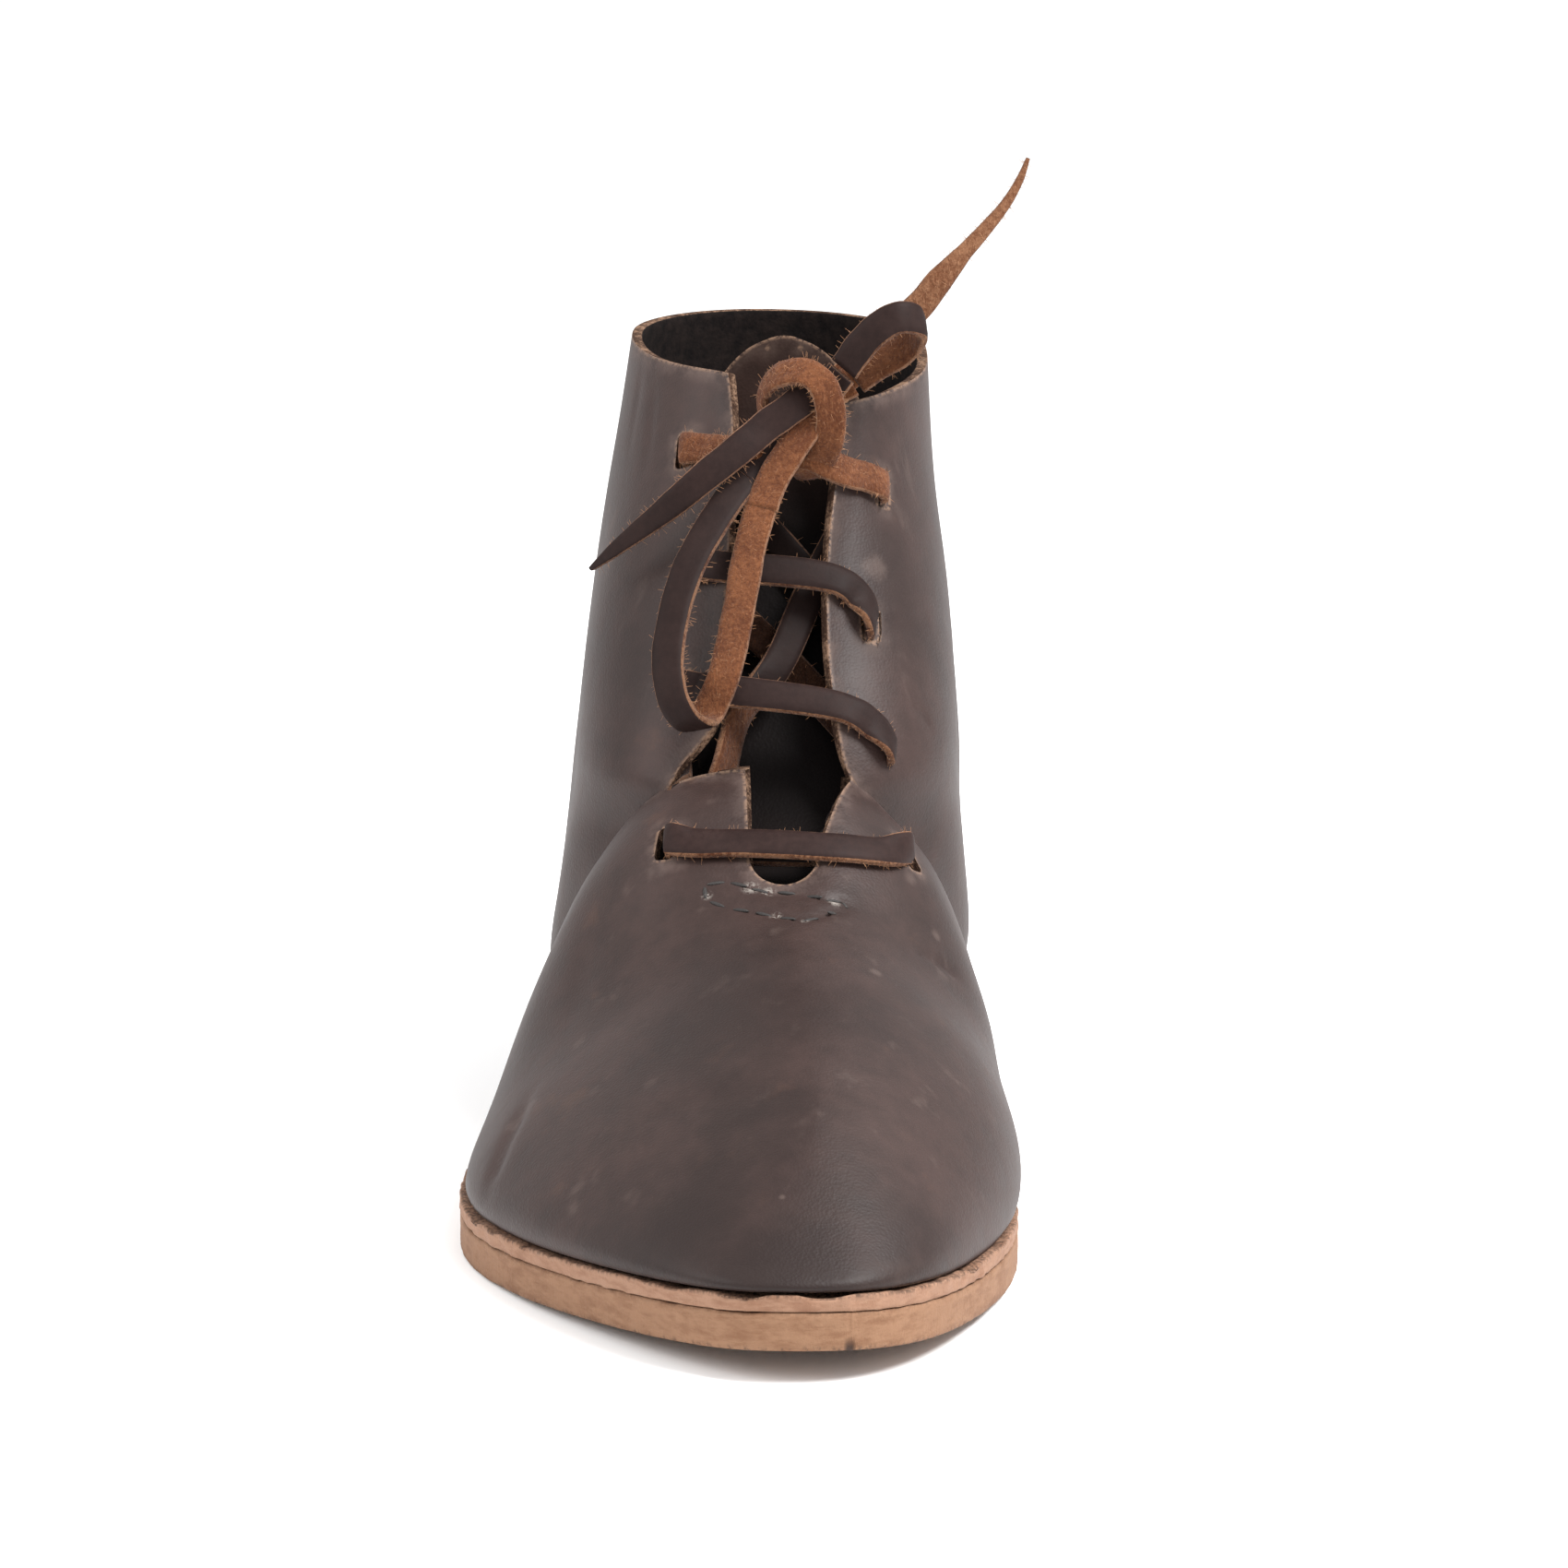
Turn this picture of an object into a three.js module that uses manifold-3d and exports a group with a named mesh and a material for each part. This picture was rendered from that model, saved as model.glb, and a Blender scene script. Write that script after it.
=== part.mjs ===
// Medieval turnshoe boot, right foot: a front-laced ankle boot of dark leather on a tan leather sole.
//
// Millimetres. X points to the medial side, Y from toe to heel, Z up. The origin lies on the ground
// under the middle of the sole's length, and the tables count widths from the boot's long axis there.

import * as THREE from 'three';
import { LoftGeometry } from 'three/addons/geometries/LoftGeometry.js';
import { mergeVertices } from 'three/addons/utils/BufferGeometryUtils.js';
import Module from 'manifold-3d';

// Driving dimensions of the sole
const soleLength = 285;
const ballWidth = 105;
const outsoleThickness = 7;
const randThickness = 3;
const insoleThickness = 2.5;
const toeSpring = 6.3;
const archRise = 2.5;
const featherInset = 1.5;

// Driving dimensions of the upper
const wall = 2.2;
const instepHeight = 80.5;
const collarHeight = 159.5;
const collarDip = 10;
const vampBulge = 2;
const seamOverlap = 1.2;
const seamStep = 0.8;
const seamTuck = 2.6;
const seamRoll = 5;
const throatWidth = 13.5;
const throatLength = 26;

// Driving dimensions of the tongue and the lace
const tongueThickness = 1.8;
const tongueWidth = 38;
const tongueSag = 2.2;
const laceWidth = 6.5;
const laceThickness = 1.8;
const crossingDepth = 2.4;
const knotWidth = 14;
const knotDepth = 8.4;
const knotHeight = 20;
const holeMargin = 9;

// Clearances
const gap = 0.3;
const laceClearance = 0.6;
const holeClearance = 1.35;

const feather = outsoleThickness + randThickness + gap;

// Sole outline, from toe tip to heel: along is a share of the sole's length, lateral and medial are
// shares of the ball width, counted from the long axis.
const outlineRows = [
  { along: 0.000, lateral: 0.026, medial: 0.026 },
  { along: 0.010, lateral: -0.092, medial: 0.146 },
  { along: 0.045, lateral: -0.197, medial: 0.241 },
  { along: 0.105, lateral: -0.325, medial: 0.317 },
  { along: 0.185, lateral: -0.467, medial: 0.383 },
  { along: 0.265, lateral: -0.560, medial: 0.415 },
  { along: 0.345, lateral: -0.585, medial: 0.405 },
  { along: 0.440, lateral: -0.558, medial: 0.357 },
  { along: 0.550, lateral: -0.484, medial: 0.300 },
  { along: 0.670, lateral: -0.412, medial: 0.274 },
  { along: 0.790, lateral: -0.370, medial: 0.279 },
  { along: 0.890, lateral: -0.326, medial: 0.252 },
  { along: 0.965, lateral: -0.212, medial: 0.148 },
  { along: 1.000, lateral: -0.033, medial: -0.033 },
];

// Ridge of the vamp before its front is rounded off: height as a share of the instep's.
const ridgeRows = [
  { along: 0.00, height: 0.31 },
  { along: 0.06, height: 0.41 },
  { along: 0.13, height: 0.505 },
  { along: 0.20, height: 0.60 },
  { along: 0.29, height: 0.70 },
  { along: 0.39, height: 0.80 },
  { along: 0.485, height: 1.005 },
  { along: 0.60, height: 1.04 },
  { along: 0.80, height: 1.06 },
];

// Swell of the vamp's sides, rib by rib from the toe (0) to the side seams (1).
const bulgeRows = [
  { share: 0.0, lateral: 1.1, medial: 1.1 },
  { share: 0.3, lateral: 1.9, medial: 0.4 },
  { share: 0.5, lateral: 1.0, medial: 1.3 },
  { share: 0.68, lateral: 0.8, medial: 2.3 },
  { share: 0.80, lateral: 0.8, medial: 2.4 },
  { share: 0.90, lateral: 0.7, medial: 1.2 },
  { share: 1.0, lateral: 0.0, medial: 0.0 },
];

// Leg and heel, level by level: 0 is the feather line, 1 the instep, 2 the collar. front, middle and
// back are shares of the sole's length, lateral and medial half-widths shares of the ball width.
const legRows = [
  { level: 0.0, front: 0.450, middle: 0.680, back: 0.994, lateral: -0.462, medial: 0.352, square: 2.6 },
  { level: 0.5, front: 0.458, middle: 0.680, back: 0.996, lateral: -0.436, medial: 0.342, square: 2.8 },
  { level: 1.0, front: 0.479, middle: 0.718, back: 0.985, lateral: -0.408, medial: 0.346, square: 3.0 },
  { level: 1.36, front: 0.542, middle: 0.760, back: 0.970, lateral: -0.377, medial: 0.323, square: 2.7 },
  { level: 1.69, front: 0.605, middle: 0.788, back: 0.960, lateral: -0.339, medial: 0.296, square: 2.4 },
  { level: 2.0, front: 0.653, middle: 0.805, back: 0.955, lateral: -0.303, medial: 0.286, square: 2.2 },
];

// Front edges of the quarters: below level 1 they follow the side seams, above it they stand open.
const lateralEdgeRows = [
  { level: 0.00, along: 0.556, across: -0.470 },
  { level: 0.28, along: 0.549, across: -0.455 },
  { level: 0.51, along: 0.535, across: -0.418 },
  { level: 0.74, along: 0.514, across: -0.352 },
  { level: 0.96, along: 0.494, across: -0.226 },
  { level: 1.03, along: 0.497, across: -0.188 },
  { level: 1.08, along: 0.504, across: -0.154 },
  { level: 1.13, along: 0.511, across: -0.128 },
  { level: 1.20, along: 0.520, across: -0.122 },
  { level: 1.50, along: 0.570, across: -0.105 },
  { level: 1.82, along: 0.629, across: -0.097 },
  { level: 2.00, along: 0.655, across: -0.112 },
];
const medialEdgeRows = [
  { level: 0.00, along: 0.563, across: 0.290 },
  { level: 0.28, along: 0.548, across: 0.345 },
  { level: 0.51, along: 0.532, across: 0.332 },
  { level: 0.71, along: 0.512, across: 0.286 },
  { level: 0.83, along: 0.499, across: 0.232 },
  { level: 0.94, along: 0.490, across: 0.158 },
  { level: 1.02, along: 0.490, across: 0.116 },
  { level: 1.15, along: 0.508, across: 0.097 },
  { level: 1.30, along: 0.534, across: 0.083 },
  { level: 1.50, along: 0.569, across: 0.082 },
  { level: 1.75, along: 0.613, across: 0.104 },
  { level: 2.00, along: 0.655, across: 0.125 },
];

// Collar, around the leg from the lateral front corner: how far it lies below its height at the heel.
const collarRows = [
  { around: 0.00, dip: 0.42 },
  { around: 0.10, dip: 0.28 },
  { around: 0.25, dip: 0.02 },
  { around: 0.50, dip: 0.00 },
  { around: 0.72, dip: 0.20 },
  { around: 0.85, dip: 0.62 },
  { around: 1.00, dip: 1.00 },
];

// Tongue, from under the vamp to its rounded top: its middle line, how far it is held up against the
// vamp there, and its half-width as a share of the tongue's width.
const tongueRows = [
  { reach: 0.00, along: 0.362, level: 0.66, held: 1, half: 0.22 },
  { reach: 0.06, along: 0.390, level: 0.69, held: 1, half: 0.31 },
  { reach: 0.15, along: 0.425, level: 0.72, held: 0, half: 0.37 },
  { reach: 0.25, along: 0.472, level: 0.785, held: 0, half: 0.39 },
  { reach: 0.34, along: 0.513, level: 0.897, held: 0, half: 0.42 },
  { reach: 0.41, along: 0.534, level: 1.02, held: 0, half: 0.45 },
  { reach: 0.53, along: 0.566, level: 1.196, held: 0, half: 0.49 },
  { reach: 0.74, along: 0.624, level: 1.525, held: 0, half: 0.50 },
  { reach: 0.91, along: 0.674, level: 1.82, held: 0, half: 0.46 },
  { reach: 1.00, along: 0.693, level: 2.01, held: 0, half: 0.43 },
];

const wasm = await Module();
wasm.setup();

// Share of the vamp's side at which its crest stands.
const crestShare = 0.94;

const clamp01 = (value) => Math.min(1, Math.max(0, value));
const mix = (from, to, share) => from + (to - from) * share;
const smooth = (value) => clamp01(value) ** 2 * (3 - 2 * clamp01(value));
const alongToY = (along) => (along - 0.5) * soleLength;
const acrossToX = (across) => across * ballWidth;

// Reads one column of a table at a place of its key column, on a smooth curve through the rows.
function readTable(rows, key, column, place) {
  const last = rows.length - 1;
  let row = 0;
  while (row < last - 1 && place > rows[row + 1][key]) row += 1;
  const slopeAt = (index) => {
    const before = rows[Math.max(0, index - 1)];
    const after = rows[Math.min(last, index + 1)];
    return (after[column] - before[column]) / (after[key] - before[key]);
  };
  const from = rows[row];
  const to = rows[row + 1];
  const span = to[key] - from[key];
  const t = clamp01((place - from[key]) / span);
  const rest = 1 - t;
  return from[column] * rest * rest * (1 + 2 * t)
    + to[column] * t * t * (1 + 2 * rest)
    + span * (slopeAt(row) * rest * rest * t - slopeAt(row + 1) * t * t * rest);
}

// Height of the sole's underside: flat under forefoot and heel, raised at the toe and the waist.
function groundClearance(y) {
  const springShare = (-y / soleLength - 0.2) / 0.3;
  const archShare = clamp01((y / soleLength - 0.035) / 0.24);
  return toeSpring * Math.max(0, springShare) ** 2 + archRise * Math.sin(Math.PI * archShare) ** 2;
}

// Sole edge on one side at a row number of the outline table, moved inwards by an inset.
function outlinePoint(side, row, inset) {
  const column = side < 0 ? 'lateral' : 'medial';
  const last = outlineRows.length - 1;
  const at = (index) => {
    const mirrored = index < 0 || index > last;
    const found = outlineRows[index < 0 ? -index : index > last ? 2 * last - index : index];
    const other = side < 0 ? 'medial' : 'lateral';
    return new THREE.Vector2(acrossToX(found[mirrored ? other : column]), alongToY(found.along));
  };
  const base = Math.min(last - 1, Math.floor(row));
  const t = row - base;
  const [a, b, c, d] = [at(base - 1), at(base), at(base + 1), at(base + 2)];
  const blend = (weights) => new THREE.Vector2(
    weights[0] * a.x + weights[1] * b.x + weights[2] * c.x + weights[3] * d.x,
    weights[0] * a.y + weights[1] * b.y + weights[2] * c.y + weights[3] * d.y,
  );
  const place = blend([
    (-t + 2 * t ** 2 - t ** 3) / 2,
    (2 - 5 * t ** 2 + 3 * t ** 3) / 2,
    (t + 4 * t ** 2 - 3 * t ** 3) / 2,
    (t ** 3 - t ** 2) / 2,
  ]);
  const heading = blend([
    (-1 + 4 * t - 3 * t ** 2) / 2,
    (-10 * t + 9 * t ** 2) / 2,
    (1 + 8 * t - 9 * t ** 2) / 2,
    (3 * t ** 2 - 2 * t) / 2,
  ]).normalize();
  return place.add(new THREE.Vector2(-side * heading.y, side * heading.x).multiplyScalar(inset));
}

// Points of one side of the feather line from toe to heel, with the length walked at each.
function featherWalk(side) {
  const stepsPerRow = 10;
  const steps = (outlineRows.length - 1) * stepsPerRow;
  const walk = [];
  let length = 0;
  for (let step = 0; step <= steps; step += 1) {
    const point = outlinePoint(side, step / stepsPerRow, featherInset);
    if (step > 0) length += point.distanceTo(walk[step - 1].point);
    walk.push({ point, length });
  }
  return walk;
}

const featherWalks = { [-1]: featherWalk(-1), [1]: featherWalk(1) };

function pointOnWalk(walk, key, value) {
  let index = 1;
  while (index < walk.length - 1 && walk[index][key] < value) index += 1;
  const before = walk[index - 1];
  const after = walk[index];
  const share = clamp01((value - before[key]) / (after[key] - before[key]));
  return before.point.clone().lerp(after.point, share);
}

// Length walked from the toe to where one side's seam meets the feather line.
function seamWalkLength(side) {
  const edgeRows = side < 0 ? lateralEdgeRows : medialEdgeRows;
  const seamY = alongToY(edgeRows[0].along);
  const walk = featherWalks[side];
  return walk.find((step) => step.point.y >= seamY).length;
}

const seamLengths = { [-1]: seamWalkLength(-1), [1]: seamWalkLength(1) };

const levelHeight = (level) => (level < 1
  ? mix(feather, instepHeight, level)
  : mix(instepHeight, collarHeight, level - 1));

// Crest of the vamp in front of the side seam, and above it the front edge of a quarter. At the
// feather line it starts on the sole.
function crestPoint(side, level) {
  const rows = side < 0 ? lateralEdgeRows : medialEdgeRows;
  const onSole = pointOnWalk(featherWalks[side], 'length', seamLengths[side]);
  const free = new THREE.Vector2(
    acrossToX(readTable(rows, 'level', 'across', level)),
    alongToY(readTable(rows, 'level', 'along', level)),
  );
  return onSole.lerp(free, smooth(level / 0.28));
}

// How far the side seam lies behind the vamp's crest, in its valley.
function valleyDrop(side, level) {
  const depth = smooth(level / 0.2) * smooth((1.0 - level) / 0.2);
  return new THREE.Vector2(-side * seamTuck * depth, seamRoll * depth);
}

const seamPoint = (side, level) => crestPoint(side, level).add(valleyDrop(side, level));

const ridgeHeight = (y) => instepHeight * readTable(ridgeRows, 'along', 'height', y / soleLength + 0.5);

// Plain rib of the vamp from the feather line (rise 0) over to the ridge (rise 1).
function plainRib(side, share, rise) {
  const foot = pointOnWalk(featherWalks[side], 'length', share * seamLengths[side]);
  const fanY = alongToY(0.125);
  const earY = alongToY(0.486);
  const top = new THREE.Vector2(mix(6, 0, smooth(share)), mix(fanY, earY, share ** 1.6));
  const square = mix(1.85, side < 0 ? 1.36 : 1.84, smooth(share / 0.6));
  const angle = (rise * Math.PI) / 2;
  const reach = (Math.cos(angle) ** square + Math.sin(angle) ** square) ** (-1 / square);
  const out = Math.cos(angle) * reach;
  const up = Math.sin(angle) * reach;
  const plan = top.clone().lerp(foot, out);
  const swell = readTable(bulgeRows, 'share', side < 0 ? 'lateral' : 'medial', share);
  const bulge = vampBulge * swell * 3.08 * up ** 0.5 * (1 - up) ** 1.5;
  plan.add(foot.clone().sub(top).normalize().multiplyScalar(bulge));
  const bottom = feather + groundClearance(plan.y);
  return new THREE.Vector3(plan.x, plan.y, mix(bottom, ridgeHeight(plan.y), up));
}

// Curve up one side of the vamp near its rear edge, then over the instep by way of the ear.
function rearCurve(side, planPoint) {
  const sideRows = side < 0 ? lateralEdgeRows : medialEdgeRows;
  const rows = sideRows.filter((row) => row.level < 0.97);
  const bottom = planPoint(side, 0);
  const points = rows.map((row) => {
    const plan = planPoint(side, row.level);
    return new THREE.Vector3(plan.x, plan.y, levelHeight(row.level));
  });
  points[0].set(bottom.x, bottom.y, feather + groundClearance(bottom.y));
  const earX = side * throatWidth * 0.7;
  points.push(new THREE.Vector3(earX, alongToY(0.486), instepHeight));
  points.push(new THREE.Vector3(0, alongToY(0.486), instepHeight));
  return new THREE.CatmullRomCurve3(points, false, 'centripetal');
}

const crestCurves = { [-1]: rearCurve(-1, crestPoint), [1]: rearCurve(1, crestPoint) };
const seamCurves = { [-1]: rearCurve(-1, seamPoint), [1]: rearCurve(1, seamPoint) };

// Vamp surface: plain ribs, drawn onto the crest towards the rear and rolled down into the seam.
function vampPoint(side, share, rise) {
  const ribShare = Math.min(1, share / crestShare);
  const rib = plainRib(side, ribShare, rise);
  const fade = smooth((ribShare - 0.62) / 0.38);
  if (fade === 0) return rib;
  const crest = crestCurves[side].getPointAt(rise);
  rib.add(crest.clone().sub(plainRib(side, 1, rise)).multiplyScalar(fade));
  if (share <= crestShare) return rib;
  const roll = (share - crestShare) / (1 - crestShare);
  const drop = seamCurves[side].getPointAt(rise).sub(crest);
  return rib.add(new THREE.Vector3(drop.x * roll ** 2, drop.y * roll, drop.z * roll ** 2));
}

// One oval of the leg at a level, turned from the front (0) over the lateral side round the heel.
function legOval(level, turn) {
  const read = (column) => readTable(legRows, 'level', column, level);
  const across = Math.sin(turn);
  const ahead = Math.cos(turn);
  const middleX = acrossToX((read('lateral') + read('medial')) / 2);
  const halfWidth = acrossToX((read('medial') - read('lateral')) / 2);
  const middleY = alongToY(read('middle'));
  const halfLength = ahead > 0 ? middleY - alongToY(read('front')) : alongToY(read('back')) - middleY;
  const square = ahead > 0 ? read('square') : 2;
  const reach = (Math.abs(across) ** square + Math.abs(ahead) ** square) ** (-1 / square);
  return new THREE.Vector2(
    middleX - across * reach * halfWidth,
    middleY - ahead * reach * halfLength,
  );
}

// Turn at which an oval looks towards a point of its plane.
function turnTowards(level, point) {
  const side = legOval(level, Math.PI / 2);
  const otherSide = legOval(level, -Math.PI / 2);
  const front = legOval(level, 0);
  const middleX = (side.x + otherSide.x) / 2;
  return Math.atan2((middleX - point.x) / (otherSide.x - middleX), (side.y - point.y) / (side.y - front.y));
}

// Where a ray from the heel seat's middle, towards an oval's point, crosses the feather line.
function featherTowards(turn) {
  const middle = new THREE.Vector2(acrossToX(-0.045), alongToY(0.68));
  const aim = legOval(0, turn).sub(middle);
  const side = aim.x < 0 ? -1 : 1;
  const walk = featherWalks[side];
  let index = walk.findIndex((step) => step.point.y > alongToY(0.4));
  const leftOfAim = (point) => side * (aim.x * (point.y - middle.y) - aim.y * (point.x - middle.x)) > 0;
  while (index < walk.length - 1 && !leftOfAim(walk[index].point)) index += 1;
  const from = walk[index - 1].point.clone().sub(middle);
  const to = walk[index].point.clone().sub(middle);
  const fromSide = from.x * aim.y - from.y * aim.x;
  const toSide = to.x * aim.y - to.y * aim.x;
  return from.lerp(to, clamp01(fromSide / (fromSide - toSide))).add(middle);
}

// Quarter surface: around 0 is the lateral front edge and 1 the medial one, rise 0 the feather line
// and 1 the collar.
function quarterPoint(around, rise) {
  const dip = collarDip * readTable(collarRows, 'around', 'dip', around);
  const topLevel = 2 - dip / (collarHeight - instepHeight);
  const level = rise * topLevel;
  const lateralEdge = crestPoint(-1, level);
  const medialEdge = crestPoint(1, level);
  const firstTurn = turnTowards(level, lateralEdge);
  const lastTurn = 2 * Math.PI + turnTowards(level, medialEdge);
  const turn = mix(firstTurn, lastTurn, around);
  const plan = legOval(level, turn);
  const lateralPull = lateralEdge.sub(legOval(level, firstTurn)).multiplyScalar(smooth(1 - around / 0.2));
  const medialPull = medialEdge.sub(legOval(level, lastTurn)).multiplyScalar(smooth((around - 0.8) / 0.2));
  plan.add(lateralPull).add(medialPull);
  plan.addScaledVector(valleyDrop(-1, level), smooth(1 - around / 0.09));
  plan.addScaledVector(valleyDrop(1, level), smooth((around - 0.91) / 0.09));
  const spread = Math.sin((Math.PI / 2) * clamp01(level / 0.5));
  const foot = featherTowards(turn);
  plan.lerpVectors(foot, plan, spread);
  const underSide = smooth(1 - around / 0.05) - smooth((around - 0.95) / 0.05);
  const underVamp = smooth((1.02 - level) / 0.08) * smooth(level / 0.1);
  plan.x += seamStep * underSide * underVamp;
  plan.y -= seamOverlap * Math.abs(underSide) * underVamp;
  const lift = groundClearance(plan.y) * (1 - clamp01(level));
  return new THREE.Vector3(plan.x, plan.y, levelHeight(level) + lift);
}

// Outward direction of a surface given as a function of two shares.
function surfaceNormal(surface, u, v, outside) {
  const step = 0.004;
  const along = surface(Math.min(1, u + step), v).sub(surface(Math.max(0, u - step), v));
  const up = surface(u, Math.min(1, v + step)).sub(surface(u, Math.max(0, v - step)));
  const normal = along.cross(up).normalize();
  return normal.dot(outside) < 0 ? normal.negate() : normal;
}

function bareGeometry(geometry) {
  const bare = new THREE.BufferGeometry();
  bare.setAttribute('position', geometry.getAttribute('position'));
  bare.setIndex(geometry.index);
  return mergeVertices(bare, 1e-4);
}

// Leather of one thickness: the given face, a second face under it, and the edges between them.
function leather(sections, thickness, insideOut = false) {
  const face = bareGeometry(new LoftGeometry(sections, { closed: false }));
  const corners = Array.from(face.index.array);
  const faces = [];
  for (let first = 0; first < corners.length; first += 3) {
    const [a, b, c] = corners.slice(first, first + 3);
    if (a !== b && b !== c && c !== a) faces.push(insideOut ? [a, c, b] : [a, b, c]);
  }
  face.setIndex(faces.flat());
  face.computeVertexNormals();
  const position = face.getAttribute('position');
  const normal = face.getAttribute('normal');
  const count = position.count;
  const points = new Float32Array(count * 6);
  const point = new THREE.Vector3();
  const outwards = new THREE.Vector3();
  for (let index = 0; index < count; index += 1) {
    point.fromBufferAttribute(position, index).toArray(points, index * 3);
    outwards.fromBufferAttribute(normal, index);
    point.addScaledVector(outwards, -thickness).toArray(points, (index + count) * 3);
  }
  const edges = new Set(faces.flatMap(([a, b, c]) => [`${a},${b}`, `${b},${c}`, `${c},${a}`]));
  const solid = [];
  for (const [a, b, c] of faces) {
    solid.push(a, b, c, c + count, b + count, a + count);
    for (const [from, to] of [[a, b], [b, c], [c, a]]) {
      if (edges.has(`${to},${from}`)) continue;
      solid.push(to, from, from + count, to, from + count, to + count);
    }
  }
  const geometry = new THREE.BufferGeometry();
  geometry.setAttribute('position', new THREE.BufferAttribute(points, 3));
  geometry.setIndex(solid);
  return geometry;
}

function toSolid(geometry) {
  const merged = bareGeometry(geometry);
  return new wasm.Manifold(new wasm.Mesh({
    numProp: 3,
    vertProperties: Float32Array.from(merged.getAttribute('position').array),
    triVerts: Uint32Array.from(merged.index.array),
  }));
}

function toGeometry(solid) {
  const { vertProperties, triVerts } = solid.getMesh();
  const geometry = new THREE.BufferGeometry();
  geometry.setAttribute('position', new THREE.BufferAttribute(vertProperties, 3));
  geometry.setIndex(new THREE.BufferAttribute(triVerts, 1));
  return geometry;
}

const counted = (steps, make) => Array.from({ length: steps + 1 }, (_, step) => make(step / steps));

// Flat layer of the sole between two heights above its underside.
function soleLayer(inset, low, high) {
  const stations = 3 * (outlineRows.length - 1);
  const ends = 0.3;
  const sections = counted(stations, (share) => {
    const row = mix(ends, outlineRows.length - 1 - ends, share);
    const lateral = outlinePoint(-1, row, inset);
    const medial = outlinePoint(1, row, inset);
    const corner = (point, height) => new THREE.Vector3(point.x, point.y, groundClearance(point.y) + height);
    return [corner(lateral, low), corner(lateral, high), corner(medial, high), corner(medial, low)];
  });
  return new LoftGeometry(sections, { capStart: true, capEnd: true });
}

function vampSections() {
  const rollRibs = 3;
  const ribs = 23;
  const steps = 13;
  const roll = counted(rollRibs, (share) => mix(1, crestShare, share));
  const front = counted(ribs, (share) => crestShare * (1 - share)).slice(1);
  return [...roll, ...front].map((place) => {
    const lateral = counted(steps, (rise) => vampPoint(-1, place, rise));
    const medial = counted(steps, (rise) => vampPoint(1, place, rise));
    return [...lateral, ...medial.reverse().slice(1)];
  });
}

function quarterSections() {
  const ribs = 46;
  const steps = 17;
  return counted(ribs, (around) => counted(steps, (rise) => quarterPoint(around, rise)));
}

// Lace holes, pair by pair from the vamp to the collar. The first pair is placed on the vamp by its
// share and rise, the others on the quarters by their level and the margin to the front edge.
const vampHoles = { [-1]: { share: 0.83, rise: 0.74 }, [1]: { share: 0.83, rise: 0.715 } };
const quarterHoleLevels = { [-1]: [1.17, 1.45, 1.70], [1]: [1.045, 1.325, 1.645] };

function quarterAtMargin(side, level, margin) {
  const start = side < 0 ? 0 : 1;
  const dip = collarDip * readTable(collarRows, 'around', 'dip', start);
  const rise = level / (2 - dip / (collarHeight - instepHeight));
  let around = start;
  let walked = 0;
  let point = quarterPoint(around, rise);
  while (walked < margin) {
    around -= side * 0.002;
    const next = quarterPoint(around, rise);
    walked += next.distanceTo(point);
    point = next;
  }
  const outside = new THREE.Vector3(side * 0.5, -1, 0.3);
  return { point, normal: surfaceNormal(quarterPoint, around, rise, outside) };
}

function vampHole(side) {
  const { share, rise } = vampHoles[side];
  const surface = (u, v) => vampPoint(side, u, v);
  const outside = new THREE.Vector3(side * 0.5, -0.3, 1);
  return { point: surface(share, rise), normal: surfaceNormal(surface, share, rise, outside) };
}

const upwards = new THREE.Vector3(0, 0, 1);
const holes = {
  [-1]: [vampHole(-1), ...quarterHoleLevels[-1].map((level) => quarterAtMargin(-1, level, holeMargin))],
  [1]: [vampHole(1), ...quarterHoleLevels[1].map((level) => quarterAtMargin(1, level, holeMargin))],
};

// Slot through the wall at a hole, as long as the lace is wide and run up the boot.
function holeCutter({ point, normal }) {
  const width = laceThickness + 2 * holeClearance;
  const length = laceWidth + 2 * holeClearance;
  const cutter = new THREE.BoxGeometry(width, length, 4 * wall);
  const up = new THREE.Vector3(0, 0.5, 1).projectOnPlane(normal).normalize();
  const across = up.clone().cross(normal);
  cutter.applyMatrix4(new THREE.Matrix4().makeBasis(across, up, normal).setPosition(point));
  return toSolid(cutter);
}

// Throat: a round-ended slot in the vamp that opens backwards between the ears.
function throatCutter() {
  const radius = throatWidth / 2;
  const back = alongToY(0.5);
  const middle = alongToY(0.486) - throatLength + radius;
  const slot = new THREE.Shape();
  slot.moveTo(radius * 1.9, back);
  slot.lineTo(radius, middle);
  slot.absarc(0, middle, radius, 0, Math.PI, true);
  slot.lineTo(-radius * 1.15, back);
  slot.closePath();
  const cutter = new THREE.ExtrudeGeometry(slot, { depth: instepHeight, bevelEnabled: false, curveSegments: 10 });
  cutter.translate(0, 0, instepHeight / 2);
  return toSolid(cutter);
}

function upperGeometry() {
  const vamp = toSolid(leather(vampSections(), wall, true)).subtract(throatCutter());
  let upper = vamp.add(toSolid(leather(quarterSections(), wall)));
  for (const hole of [...holes[-1], ...holes[1]]) upper = upper.subtract(holeCutter(hole));
  upper = upper.subtract(toSolid(soleLayer(-4 * wall, 0, feather)));
  return toGeometry(upper);
}

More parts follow.
